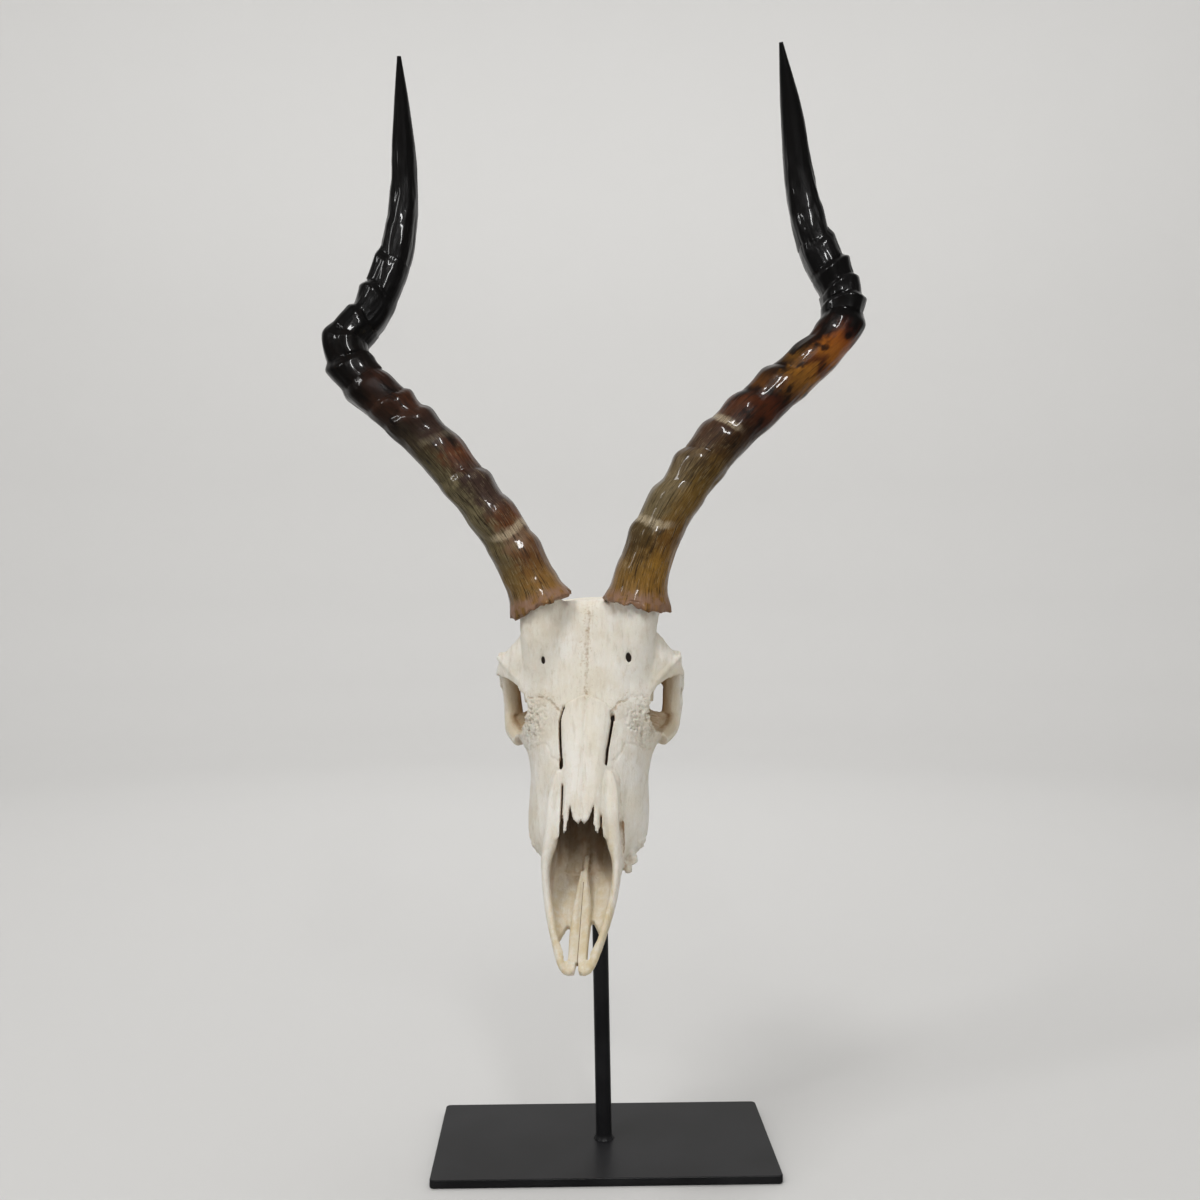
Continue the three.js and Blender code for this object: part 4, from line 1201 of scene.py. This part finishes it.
def bone_finish(settings):
    """Bleached bone: cream and chalk white, yellow in its hollows, brown along the seams, with painted shade
    in its hollows, eye sockets and slits.
    """
    f = Finish("bleached_bone", Specular_IOR_Level=0.4, Subsurface_Weight=0.06, Subsurface_Scale=0.004)
    place = f.place()
    names = ("seam", "faint", "hollow", "yellow", "crinkle", "socket")
    seam, faint, hollow, yellow, crinkle, socket = (f.value(name) for name in names)
    plan = f.vector("plan")
    level = f.node("ShaderNodeSeparateXYZ", {}, {0: plan}, output="Z")
    broad = f.noise(place, 28, 3)
    fine = f.noise(place, 210, 4, roughness=0.65)
    speck = f.noise(place, 900, 2)
    broken = f.noise(place, 480, 3)
    threads = f.noise(f.stretched(place, (1, 0.35, 0.35)), 420, 3, distortion=0.6)
    cream = tuple(settings.bone_colour)
    tint = tuple(settings.stain_colour)
    colour = f.mix(broad.ease(0.38, 0.66), cream, (0.83, 0.80, 0.735))
    colour = f.mix(fine.ease(0.5, 0.8) * 0.4, colour, (0.70, 0.61, 0.46))
    colour = f.mix(threads.ease(0.62, 0.74) * broad.ease(0.45, 0.6) * 0.3, colour, (0.60, 0.50, 0.36))
    streaks = f.noise(f.stretched(plan, (0.42, 0.04, 0.2)), 1.0, 5, roughness=0.65)
    colour = f.mix(streaks.ease(0.5, 0.7) * 0.42, colour, (0.56, 0.49, 0.385))
    colour = f.mix(streaks.ease(0.46, 0.3) * 0.4, colour, (0.90, 0.88, 0.83))
    grime = f.noise(plan, 0.06, 4, roughness=0.6)
    colour = f.mix(grime.ease(0.5, 0.68) * 0.3, colour, (0.60, 0.51, 0.37))
    colour = f.mix((yellow * fine.ease(0.2, 0.7)).clamp() * 0.8, colour, tint)
    # Painted shade: the walls of the eye sockets that look to their middle turn tan.
    socket_shade = f.mix(broad.ease(0.4, 0.6), (0.50, 0.41, 0.27), (0.66, 0.57, 0.41))
    colour = f.mix(socket * 0.75, colour, socket_shade)
    # Painted shade: closed-in places and the undersides of the socket rims turn brown.
    closed = hollow.ease(0.22, 0.92)
    colour = f.mix((closed * (0.6 + broad * 0.4)).clamp(), colour, (0.34, 0.19, 0.07))
    dusting = seam.ease(0.8, 0.1) * speck.ease(0.52, 0.66) * fine.ease(0.4, 0.6)
    colour = f.mix(dusting * 0.5, colour, (0.48, 0.34, 0.20))
    line = seam.ease(0.13, 0.02) * fine.ease(0.38, 0.62)
    colour = f.mix(line * 0.65, colour, (0.38, 0.26, 0.15))
    colour = f.mix(faint.ease(0.10, 0.02) * fine.ease(0.4, 0.7) * 0.35, colour, (0.45, 0.34, 0.22))
    folds = crinkle * threads.ease(0.5, 0.68)
    colour = f.mix(folds * 0.5, colour, (0.46, 0.37, 0.26))
    colour = paint_opening_shade_and_seams(f, colour, plan, level, fine, broken)
    pits = (speck.ease(0.62, 0.72) * (0.25 + crinkle)).clamp()
    colour = f.mix(pits * 0.45, colour, (0.38, 0.30, 0.20))
    rough = 0.5 + fine * 0.2 - closed * 0.05
    height = fine * 0.6 + speck * 0.25 - pits * 0.5 - line * 0.5 - folds * 0.8 + streaks * 1.6
    return f.feed(Base_Color=colour, Roughness=rough, Normal=f.relief(height, 0.5, 0.0007))


def display(red, green, blue):
    """Light values of a colour given as a screen shows it."""
    return tuple(((value / 255 + 0.055) / 1.055) ** 2.4 for value in (red, green, blue))


# Colours of each horn from its base: [place along it, red, green, blue] on its inner and its outer side
HORN_COLOURS = {
    1: {
        "inner": [(0.0, 165, 122, 66), (0.04, 160, 118, 56), (0.08, 100, 74, 36), (0.115, 96, 76, 44),
                  (0.14, 134, 116, 84), (0.20, 128, 108, 78), (0.25, 96, 70, 52), (0.285, 84, 56, 42),
                  (0.30, 92, 58, 42), (0.335, 100, 52, 28), (0.36, 30, 18, 14), (0.375, 110, 66, 26),
                  (0.40, 60, 34, 16), (0.42, 24, 14, 10), (0.45, 120, 78, 24), (0.475, 26, 14, 10),
                  (0.51, 60, 28, 12), (0.545, 12, 10, 10)],
        "outer": [(0.0, 168, 118, 52), (0.06, 172, 124, 46), (0.10, 132, 90, 34), (0.15, 140, 104, 44),
                  (0.21, 124, 92, 34), (0.26, 84, 56, 24), (0.31, 60, 30, 14), (0.35, 92, 40, 14),
                  (0.38, 66, 26, 12), (0.41, 150, 96, 28), (0.435, 170, 108, 30), (0.455, 100, 44, 14),
                  (0.475, 178, 104, 24), (0.51, 160, 82, 16), (0.53, 70, 26, 10), (0.55, 12, 10, 10)],
    },
    -1: {
        "inner": [(0.0, 168, 122, 70), (0.04, 166, 120, 60), (0.08, 124, 78, 40), (0.12, 150, 120, 98),
                  (0.14, 130, 74, 36), (0.17, 84, 62, 54), (0.23, 74, 54, 48), (0.26, 116, 64, 34),
                  (0.29, 66, 46, 40), (0.33, 58, 40, 34), (0.37, 84, 46, 28), (0.40, 40, 26, 22),
                  (0.43, 60, 32, 22), (0.46, 16, 12, 12), (0.49, 10, 9, 9)],
        "outer": [(0.0, 148, 110, 60), (0.05, 140, 110, 62), (0.10, 124, 106, 72), (0.16, 128, 116, 86),
                  (0.22, 118, 106, 78), (0.27, 100, 88, 62), (0.31, 70, 58, 44), (0.35, 44, 34, 28),
                  (0.39, 62, 36, 24), (0.43, 26, 18, 16), (0.47, 10, 9, 9)],
    },
}


def horn_finish(name, side, settings):
    """Varnished horn: amber and fibrous at the base, black towards the tip, under a clear coat."""
    f = Finish(name + "_horn", Specular_IOR_Level=0.3, Coat_Roughness=0.03, Coat_IOR=1.5)
    along, outer, ring = (f.value(value) for value in ("along", "outer", "ring"))
    fibre = f.vector("fibre")
    shift = (0, 0, 0) if side > 0 else (3.7, 1.9, 5.3)
    fibre = f.node("ShaderNodeMapping", {}, {"Vector": fibre, "Location": shift})
    streaks = f.noise(f.stretched(fibre, (9, 9, 0.5)), 2.2, 5, roughness=0.65)
    hairs = f.noise(f.stretched(fibre, (24, 24, 0.6)), 3.0, 4)
    patches = f.noise(f.stretched(fibre, (1.2, 1.2, 0.6)), 1.8, 3)
    cloud = f.noise(fibre, 4.0, 3)
    place = ring * 0.7 + along * 0.3 + (patches - 0.5) * 0.06 + (streaks - 0.5) * 0.035
    ramps = {}
    for name, stops in HORN_COLOURS[side].items():
        ramps[name] = [(stop[0], display(stop[1] * 0.86, stop[2] * 0.87, stop[3] * 0.85)) for stop in stops]
    facing = (outer + (cloud - 0.5) * 1.1).ease(-0.3, 0.45)
    colour = f.mix(facing, f.ramp(place, ramps["inner"]), f.ramp(place, ramps["outer"]))
    fibrous = along.ease(0.58, 0.42)
    colour = f.mix(streaks.ease(0.50, 0.64) * fibrous * 0.8, colour, display(30, 20, 13))
    colour = f.mix(hairs.ease(0.54, 0.66) * fibrous * 0.6, colour, display(42, 30, 18))
    colour = f.mix(patches.ease(0.54, 0.64) * along.ease(0.18, 0.32) * 0.85, colour, display(16, 11, 9))
    pale = hairs.ease(0.46, 0.32) * along.ease(0.36, 0.2) * cloud.ease(0.40, 0.58)
    colour = f.mix(pale * 0.6, colour, display(176, 158, 124))
    for band, strength in ((0.126, 0.8), (0.3, 0.65 if side > 0 else 0.15)):
        near = (ring + (cloud - 0.5) * 0.012 - band).maths("ABSOLUTE").ease(0.009, 0.002)
        near = near * outer.ease(0.75, 0.1) * hairs.ease(0.62, 0.45)
        colour = f.mix(near * strength, colour, display(196, 180, 150))
    crust = (along + (hairs - 0.5) * 0.02).ease(0.022, 0.008)
    colour = f.mix(crust * cloud.ease(0.3, 0.55) * 0.85, colour, display(140, 108, 88))
    colour = f.mix(along.ease(0.56, 0.6), colour, tuple(settings.dark))
    rough = 0.42 - streaks * 0.15
    height = streaks * 0.5 + hairs * 0.4
    return f.feed(Base_Color=colour, Roughness=rough, Coat_Weight=1.0 - crust * 0.8,
                  Normal=f.relief(height, 0.3, 0.0005))


def tooth_finish(settings):
    """Enamel, yellower and stained towards the gum, with painted shade where it is closed in, as in the worn
    crescents.
    """
    f = Finish("enamel", Specular_IOR_Level=0.6, Coat_Weight=0.3, Coat_Roughness=0.15)
    place = f.place()
    level, hollow = f.value("level"), f.value("hollow")
    cloud = f.noise(place, 240, 3)
    fine = f.noise(f.stretched(place, (1, 1, 0.25)), 900, 3)
    colour = f.mix(level.ease(0.1, 0.8), (0.52, 0.40, 0.22), tuple(settings.enamel_colour))
    colour = f.mix(cloud.ease(0.5, 0.75) * 0.5, colour, (0.45, 0.33, 0.18))
    # Painted shade: closed-in places, such as the grooves and worn crescents, turn near black.
    colour = f.mix(hollow.ease(0.2, 0.75) * 0.9, colour, (0.07, 0.04, 0.02))
    return f.feed(Base_Color=colour, Roughness=0.28 + fine * 0.25,
                  Normal=f.relief(fine + cloud, 0.2, 0.0003))


def steel_finish(settings):
    """Black satin paint on steel, with a fine grain and a little wear."""
    f = Finish("black_steel", Specular_IOR_Level=0.4, Coat_Weight=0.15, Coat_Roughness=0.25)
    place = f.place()
    grain_ = f.noise(place, 1800, 2)
    cloud = f.noise(place, 18, 4)
    dust = f.cells(place, 160).ease(0.10, 0.04) * cloud.ease(0.5, 0.7)
    colour = f.mix(cloud.ease(0.3, 0.75), tuple(settings.steel_colour), (0.022, 0.022, 0.024))
    colour = f.mix(dust * 0.35, colour, (0.10, 0.10, 0.10))
    rough = 0.34 + cloud * 0.12 + grain_ * 0.08
    return f.feed(Base_Color=colour, Roughness=rough, Normal=f.relief(grain_, 0.12, 0.0002))


def floor_finish(settings):
    """Plain pale floor."""
    f = Finish("pale_floor", Specular_IOR_Level=0.2)
    cloud = f.noise(f.place(), 2.5, 2)
    pale = tuple(settings.floor_colour)
    colour = f.mix(cloud, pale, tuple(c * 0.985 for c in pale))
    return f.feed(Base_Color=colour, Roughness=0.75 + cloud * 0.05)


# Stage

def build_stage(settings):
    """Round pale floor that sweeps up far out, soft lamps, a dim sky and the camera."""
    profile = [(0.0, 0.0), (1.0, 0.0), (2.0, 0.0), (2.3, 0.03), (2.6, 0.14), (2.85, 0.36), (3.0, 0.7),
               (3.05, 1.2), (3.05, 3.2)]
    bm = bmesh.new()
    line = [bm.verts.new((r * settings.floor_radius / 3.05, 0, z - 0.0002)) for r, z in profile]
    edges = [bm.edges.new(two) for two in zip(line, line[1:])]
    bmesh.ops.spin(bm, geom=line + edges, cent=(0, 0, 0), axis=(0, 0, 1), angle=2 * math.pi, steps=64,
                   use_merge=True)
    bmesh.ops.remove_doubles(bm, verts=bm.verts, dist=1e-6)
    bmesh.ops.recalc_face_normals(bm, faces=bm.faces)
    for face in bm.faces:
        face.smooth = True
    if sum(face.normal.z for face in bm.faces) < 0:
        bmesh.ops.reverse_faces(bm, faces=bm.faces)
    floor = make_object("floor", bm)
    floor.data.materials.append(floor_finish(settings))
    floor.visible_glossy = False
    add_lamps(settings)
    add_sky(settings)
    add_camera(settings)


def add_lamps(settings):
    """Soft lamps for the shading, narrow ones for the glints, and a wash on the far side of the floor."""
    lamps = {
        "key": ((-0.85, -0.95, 1.9), (0.0, -0.05, 0.35), (0.5, 0.5), 14, False),
        "fill": ((1.7, -1.0, 0.8), (0.0, -0.05, 0.35), (1.2, 1.2), 3.0, False),
        "top": ((0.2, 0.2, 2.2), (0.0, 0.0, 0.2), (1.2, 1.2), 9, False),
        "wash": ((0.0, 0.9, 2.3), (0.0, 3.0, 0.9), (2.4, 0.6), 38, False),
        "glint": ((0.15, -1.5, 1.5), (0.0, -0.05, 0.5), (0.16, 0.7), 6.5, True),
        "window": ((-1.3, -0.9, 1.3), (0.0, -0.05, 0.5), (0.12, 0.7), 2.0, True),
    }
    for name, (place, target, size, power, glossy) in lamps.items():
        data = bpy.data.lights.new(name, "AREA")
        data.shape = "RECTANGLE"
        data.size, data.size_y = size
        data.energy = power * settings.light
        lamp = bpy.data.objects.new(name, data)
        lamp.location = place
        lamp.rotation_euler = (Vector(target) - Vector(place)).to_track_quat("-Z", "Y").to_euler()
        lamp.visible_glossy = glossy
        bpy.context.scene.collection.objects.link(lamp)


def add_sky(settings):
    """Pale light from all round, which gloss sees bright behind the piece and dark in front of it."""
    world = bpy.data.worlds.new("sky")
    world.use_nodes = True
    tree = world.node_tree
    place = tree.nodes.new("ShaderNodeTexCoord")
    split = tree.nodes.new("ShaderNodeSeparateXYZ")
    span = tree.nodes.new("ShaderNodeMapRange")
    span.interpolation_type = "SMOOTHSTEP"
    ramp = tree.nodes.new("ShaderNodeMapRange")
    path = tree.nodes.new("ShaderNodeLightPath")
    strength = tree.nodes.new("ShaderNodeMix")
    span.inputs["From Min"].default_value = 0.1
    span.inputs["From Max"].default_value = 0.95
    ramp.inputs["To Min"].default_value = settings.dark_side
    ramp.inputs["To Max"].default_value = settings.sky
    tree.links.new(place.outputs["Generated"], split.inputs[0])
    tree.links.new(split.outputs["Y"], span.inputs["Value"])
    tree.links.new(span.outputs[0], ramp.inputs["Value"])
    tree.links.new(path.outputs["Is Glossy Ray"], strength.inputs[0])
    strength.inputs[2].default_value = settings.sky
    tree.links.new(ramp.outputs[0], strength.inputs[3])
    background = tree.nodes["Background"]
    background.inputs["Color"].default_value = (1.0, 0.985, 0.96, 1)
    tree.links.new(strength.outputs[0], background.inputs["Strength"])
    bpy.context.scene.world = world


def add_camera(settings):
    """Camera at the height of the horns' base, looking level and a little to its right."""
    data = bpy.data.cameras.new("camera")
    data.lens = settings.lens
    data.sensor_width = 36
    data.clip_start = 0.01
    camera = bpy.data.objects.new("camera", data)
    camera.location = settings.camera_place
    camera.rotation_euler = (math.pi / 2 + settings.camera_pitch, 0, -settings.camera_heading)
    bpy.context.scene.collection.objects.link(camera)
    bpy.context.scene.camera = camera
    bpy.context.scene.view_settings.view_transform = "Standard"


# Settings

class SkullSettings(bpy.types.PropertyGroup):
    """Sizes and colours of the skull."""

    tilt: FloatProperty(name="Tilt", description="Turn of the palate about the side axis",
                        default=math.radians(42), unit="ROTATION")
    roll: FloatProperty(name="Roll", description="Lean of the skull to one side",
                        default=math.radians(-0.7), unit="ROTATION")
    turn: FloatProperty(name="Turn", description="Turn of the skull about the upright axis",
                        default=math.radians(-6), unit="ROTATION")
    nose: FloatVectorProperty(name="Nose tip", description="Place of the tip of the nose",
                              default=(-0.0174, -0.146, 0.1495), subtype="TRANSLATION")
    voxel: FloatProperty(name="Skin grain", description="Size of the cells that the skin is made of",
                         default=0.00075, unit="LENGTH", precision=5)
    triangles: IntProperty(name="Triangles", description="Most triangles of the finished skull",
                           default=190000)
    bend: FloatProperty(name="Bend", description="How far the snout bends to its right", default=0.0015,
                        unit="LENGTH", precision=5)
    seam_depth: FloatProperty(name="Seam depth", description="Depth of the lines between the bones",
                              default=0.0004, unit="LENGTH", precision=5)
    bone_colour: FloatVectorProperty(name="Bone", description="Colour of the bleached bone",
                                     default=(0.78, 0.73, 0.625), subtype="COLOR", min=0, max=1)
    stain_colour: FloatVectorProperty(name="Stain", description="Yellow of the nose and the eye sockets",
                                      default=(0.66, 0.53, 0.30), subtype="COLOR", min=0, max=1)


class HornSettings(bpy.types.PropertyGroup):
    """Sizes and colours of the horns."""

    ring_height: FloatProperty(name="Ring height", description="How far the strongest rings stand out",
                               default=0.002, unit="LENGTH", precision=5)
    flare: FloatProperty(name="Flare", description="How far the foot of a horn stands out", default=0.0022,
                         unit="LENGTH", precision=5)
    dark: FloatVectorProperty(name="Dark", description="Horn of the last stretch and the tip",
                              default=(0.0045, 0.004, 0.004), subtype="COLOR", min=0, max=1)


class ToothSettings(bpy.types.PropertyGroup):
    """Colour of the teeth."""

    enamel_colour: FloatVectorProperty(name="Enamel", description="Colour of the crowns",
                                       default=(0.74, 0.69, 0.57), subtype="COLOR", min=0, max=1)


class StandSettings(bpy.types.PropertyGroup):
    """Sizes and colour of the stand."""

    thickness: FloatProperty(name="Thickness", description="Thickness of the plate",
                             default=PLATE_HIGH.z - PLATE_LOW.z, unit="LENGTH")
    corner: FloatProperty(name="Corner", description="Radius of the plate's corners", default=0.003,
                          unit="LENGTH", precision=4)
    chamfer: FloatProperty(name="Edge", description="Rounding of the plate's edges", default=0.0007,
                           unit="LENGTH", precision=4)
    rod_radius: FloatProperty(name="Rod radius", description="Half thickness of the rod", default=0.005,
                              unit="LENGTH", precision=4)
    lean: FloatProperty(name="Lean", description="How far the rod's top stands to one side", default=0.006,
                        unit="LENGTH", precision=4)
    bead: FloatProperty(name="Weld bead", description="Width of the weld around the rod's foot",
                        default=0.0016, unit="LENGTH", precision=4)
    steel_colour: FloatVectorProperty(name="Steel", description="Colour of the satin paint",
                                      default=(0.010, 0.010, 0.011), subtype="COLOR", min=0, max=1)


class StageSettings(bpy.types.PropertyGroup):
    """Floor, light and camera."""

    floor_radius: FloatProperty(name="Floor radius", description="Half width of the floor", default=3.05,
                                unit="LENGTH")
    floor_colour: FloatVectorProperty(name="Floor", description="Colour of the floor",
                                      default=(0.63, 0.625, 0.615), subtype="COLOR", min=0, max=1)
    light: FloatProperty(name="Light", description="Strength of the lamps", default=1.0)
    sky: FloatProperty(name="Sky", description="Strength of the light from all round", default=0.4)
    dark_side: FloatProperty(name="Dark side", description="What gloss sees in front of the piece",
                             default=0.03)
    lens: FloatProperty(name="Lens", description="Focal length of the camera", default=36.6, unit="CAMERA")
    camera_place: FloatVectorProperty(name="Camera", description="Place of the camera",
                                      default=(-0.02615, -0.7783, 0.3422), subtype="TRANSLATION")
    camera_heading: FloatProperty(name="Heading", description="Turn of the camera to its right",
                                  default=math.radians(1.737), unit="ROTATION")
    camera_pitch: FloatProperty(name="Pitch", description="Turn of the camera upwards",
                                default=math.radians(0.376), unit="ROTATION")


class HornedSkull(bpy.types.PropertyGroup):
    """All settings of the horned skull."""

    skull: PointerProperty(type=SkullSettings, name="Skull", description="Skull")
    horns: PointerProperty(type=HornSettings, name="Horns", description="Horns")
    teeth: PointerProperty(type=ToothSettings, name="Teeth", description="Teeth")
    stand: PointerProperty(type=StandSettings, name="Stand", description="Stand")
    stage: PointerProperty(type=StageSettings, name="Stage", description="Stage")


# Operators and panel

class SKULL_OT_stage(bpy.types.Operator):
    """Set up the floor, the lamps, the sky and the camera"""

    bl_idname = "horned_skull.stage"
    bl_label = "Set Up Stage"

    def execute(self, context):
        build_stage(context.scene.horned_skull.stage)
        return {"FINISHED"}


class SKULL_OT_stand(bpy.types.Operator):
    """Build the steel plate and the rod"""

    bl_idname = "horned_skull.stand"
    bl_label = "Build Stand"

    def execute(self, context):
        settings = context.scene.horned_skull.stand
        material = steel_finish(settings)
        build_plate(settings, material)
        build_rod(settings, material)
        return {"FINISHED"}


class SKULL_OT_skull(bpy.types.Operator):
    """Build the skull's bone"""

    bl_idname = "horned_skull.skull"
    bl_label = "Build Skull"

    def execute(self, context):
        build_skull(context.scene.horned_skull.skull)
        return {"FINISHED"}


class SKULL_OT_teeth(bpy.types.Operator):
    """Build the cheek teeth of both sides"""

    bl_idname = "horned_skull.teeth"
    bl_label = "Build Teeth"

    def execute(self, context):
        settings = context.scene.horned_skull
        material = tooth_finish(settings.teeth)
        for name, tooth in TEETH.items():
            build_tooth(name + "_left", tooth, 1, settings.skull, material)
            build_tooth(name + "_right", tooth, -1, settings.skull, material)
        return {"FINISHED"}


class SKULL_OT_horns(bpy.types.Operator):
    """Build both horns"""

    bl_idname = "horned_skull.horns"
    bl_label = "Build Horns"

    def execute(self, context):
        settings = context.scene.horned_skull
        for name, horn in HORNS.items():
            build_horn("horn_sheath_" + name, horn, settings.horns, settings.skull)
        return {"FINISHED"}


OPERATORS = (SKULL_OT_stage, SKULL_OT_stand, SKULL_OT_skull, SKULL_OT_teeth, SKULL_OT_horns)


class SKULL_PT_panel(bpy.types.Panel):
    """Buttons for each piece of the horned skull"""

    bl_idname = "SKULL_PT_panel"
    bl_label = "Horned Skull"
    bl_space_type = "VIEW_3D"
    bl_region_type = "UI"
    bl_category = "Skull"

    def draw(self, context):
        for operator in OPERATORS:
            self.layout.operator(operator.bl_idname)
        settings = context.scene.horned_skull
        for group in (settings.skull, settings.horns, settings.teeth, settings.stand, settings.stage):
            box = self.layout.box()
            for name in group.bl_rna.properties.keys():
                if name not in ("rna_type", "name"):
                    box.prop(group, name)


CLASSES = (SkullSettings, HornSettings, ToothSettings, StandSettings, StageSettings, HornedSkull,
           *OPERATORS, SKULL_PT_panel)


def register():
    """Makes the settings, the operators and the panel known."""
    for cls in CLASSES:
        bpy.utils.register_class(cls)
    bpy.types.Scene.horned_skull = PointerProperty(type=HornedSkull)


def unregister():
    """Takes the settings, the operators and the panel out again."""
    del bpy.types.Scene.horned_skull
    for cls in reversed(CLASSES):
        bpy.utils.unregister_class(cls)


def main():
    """Builds everything."""
    register()
    bpy.ops.horned_skull.stage()
    bpy.ops.horned_skull.stand()
    bpy.ops.horned_skull.skull()
    bpy.ops.horned_skull.teeth()
    bpy.ops.horned_skull.horns()


if __name__ == "__main__":
    main()
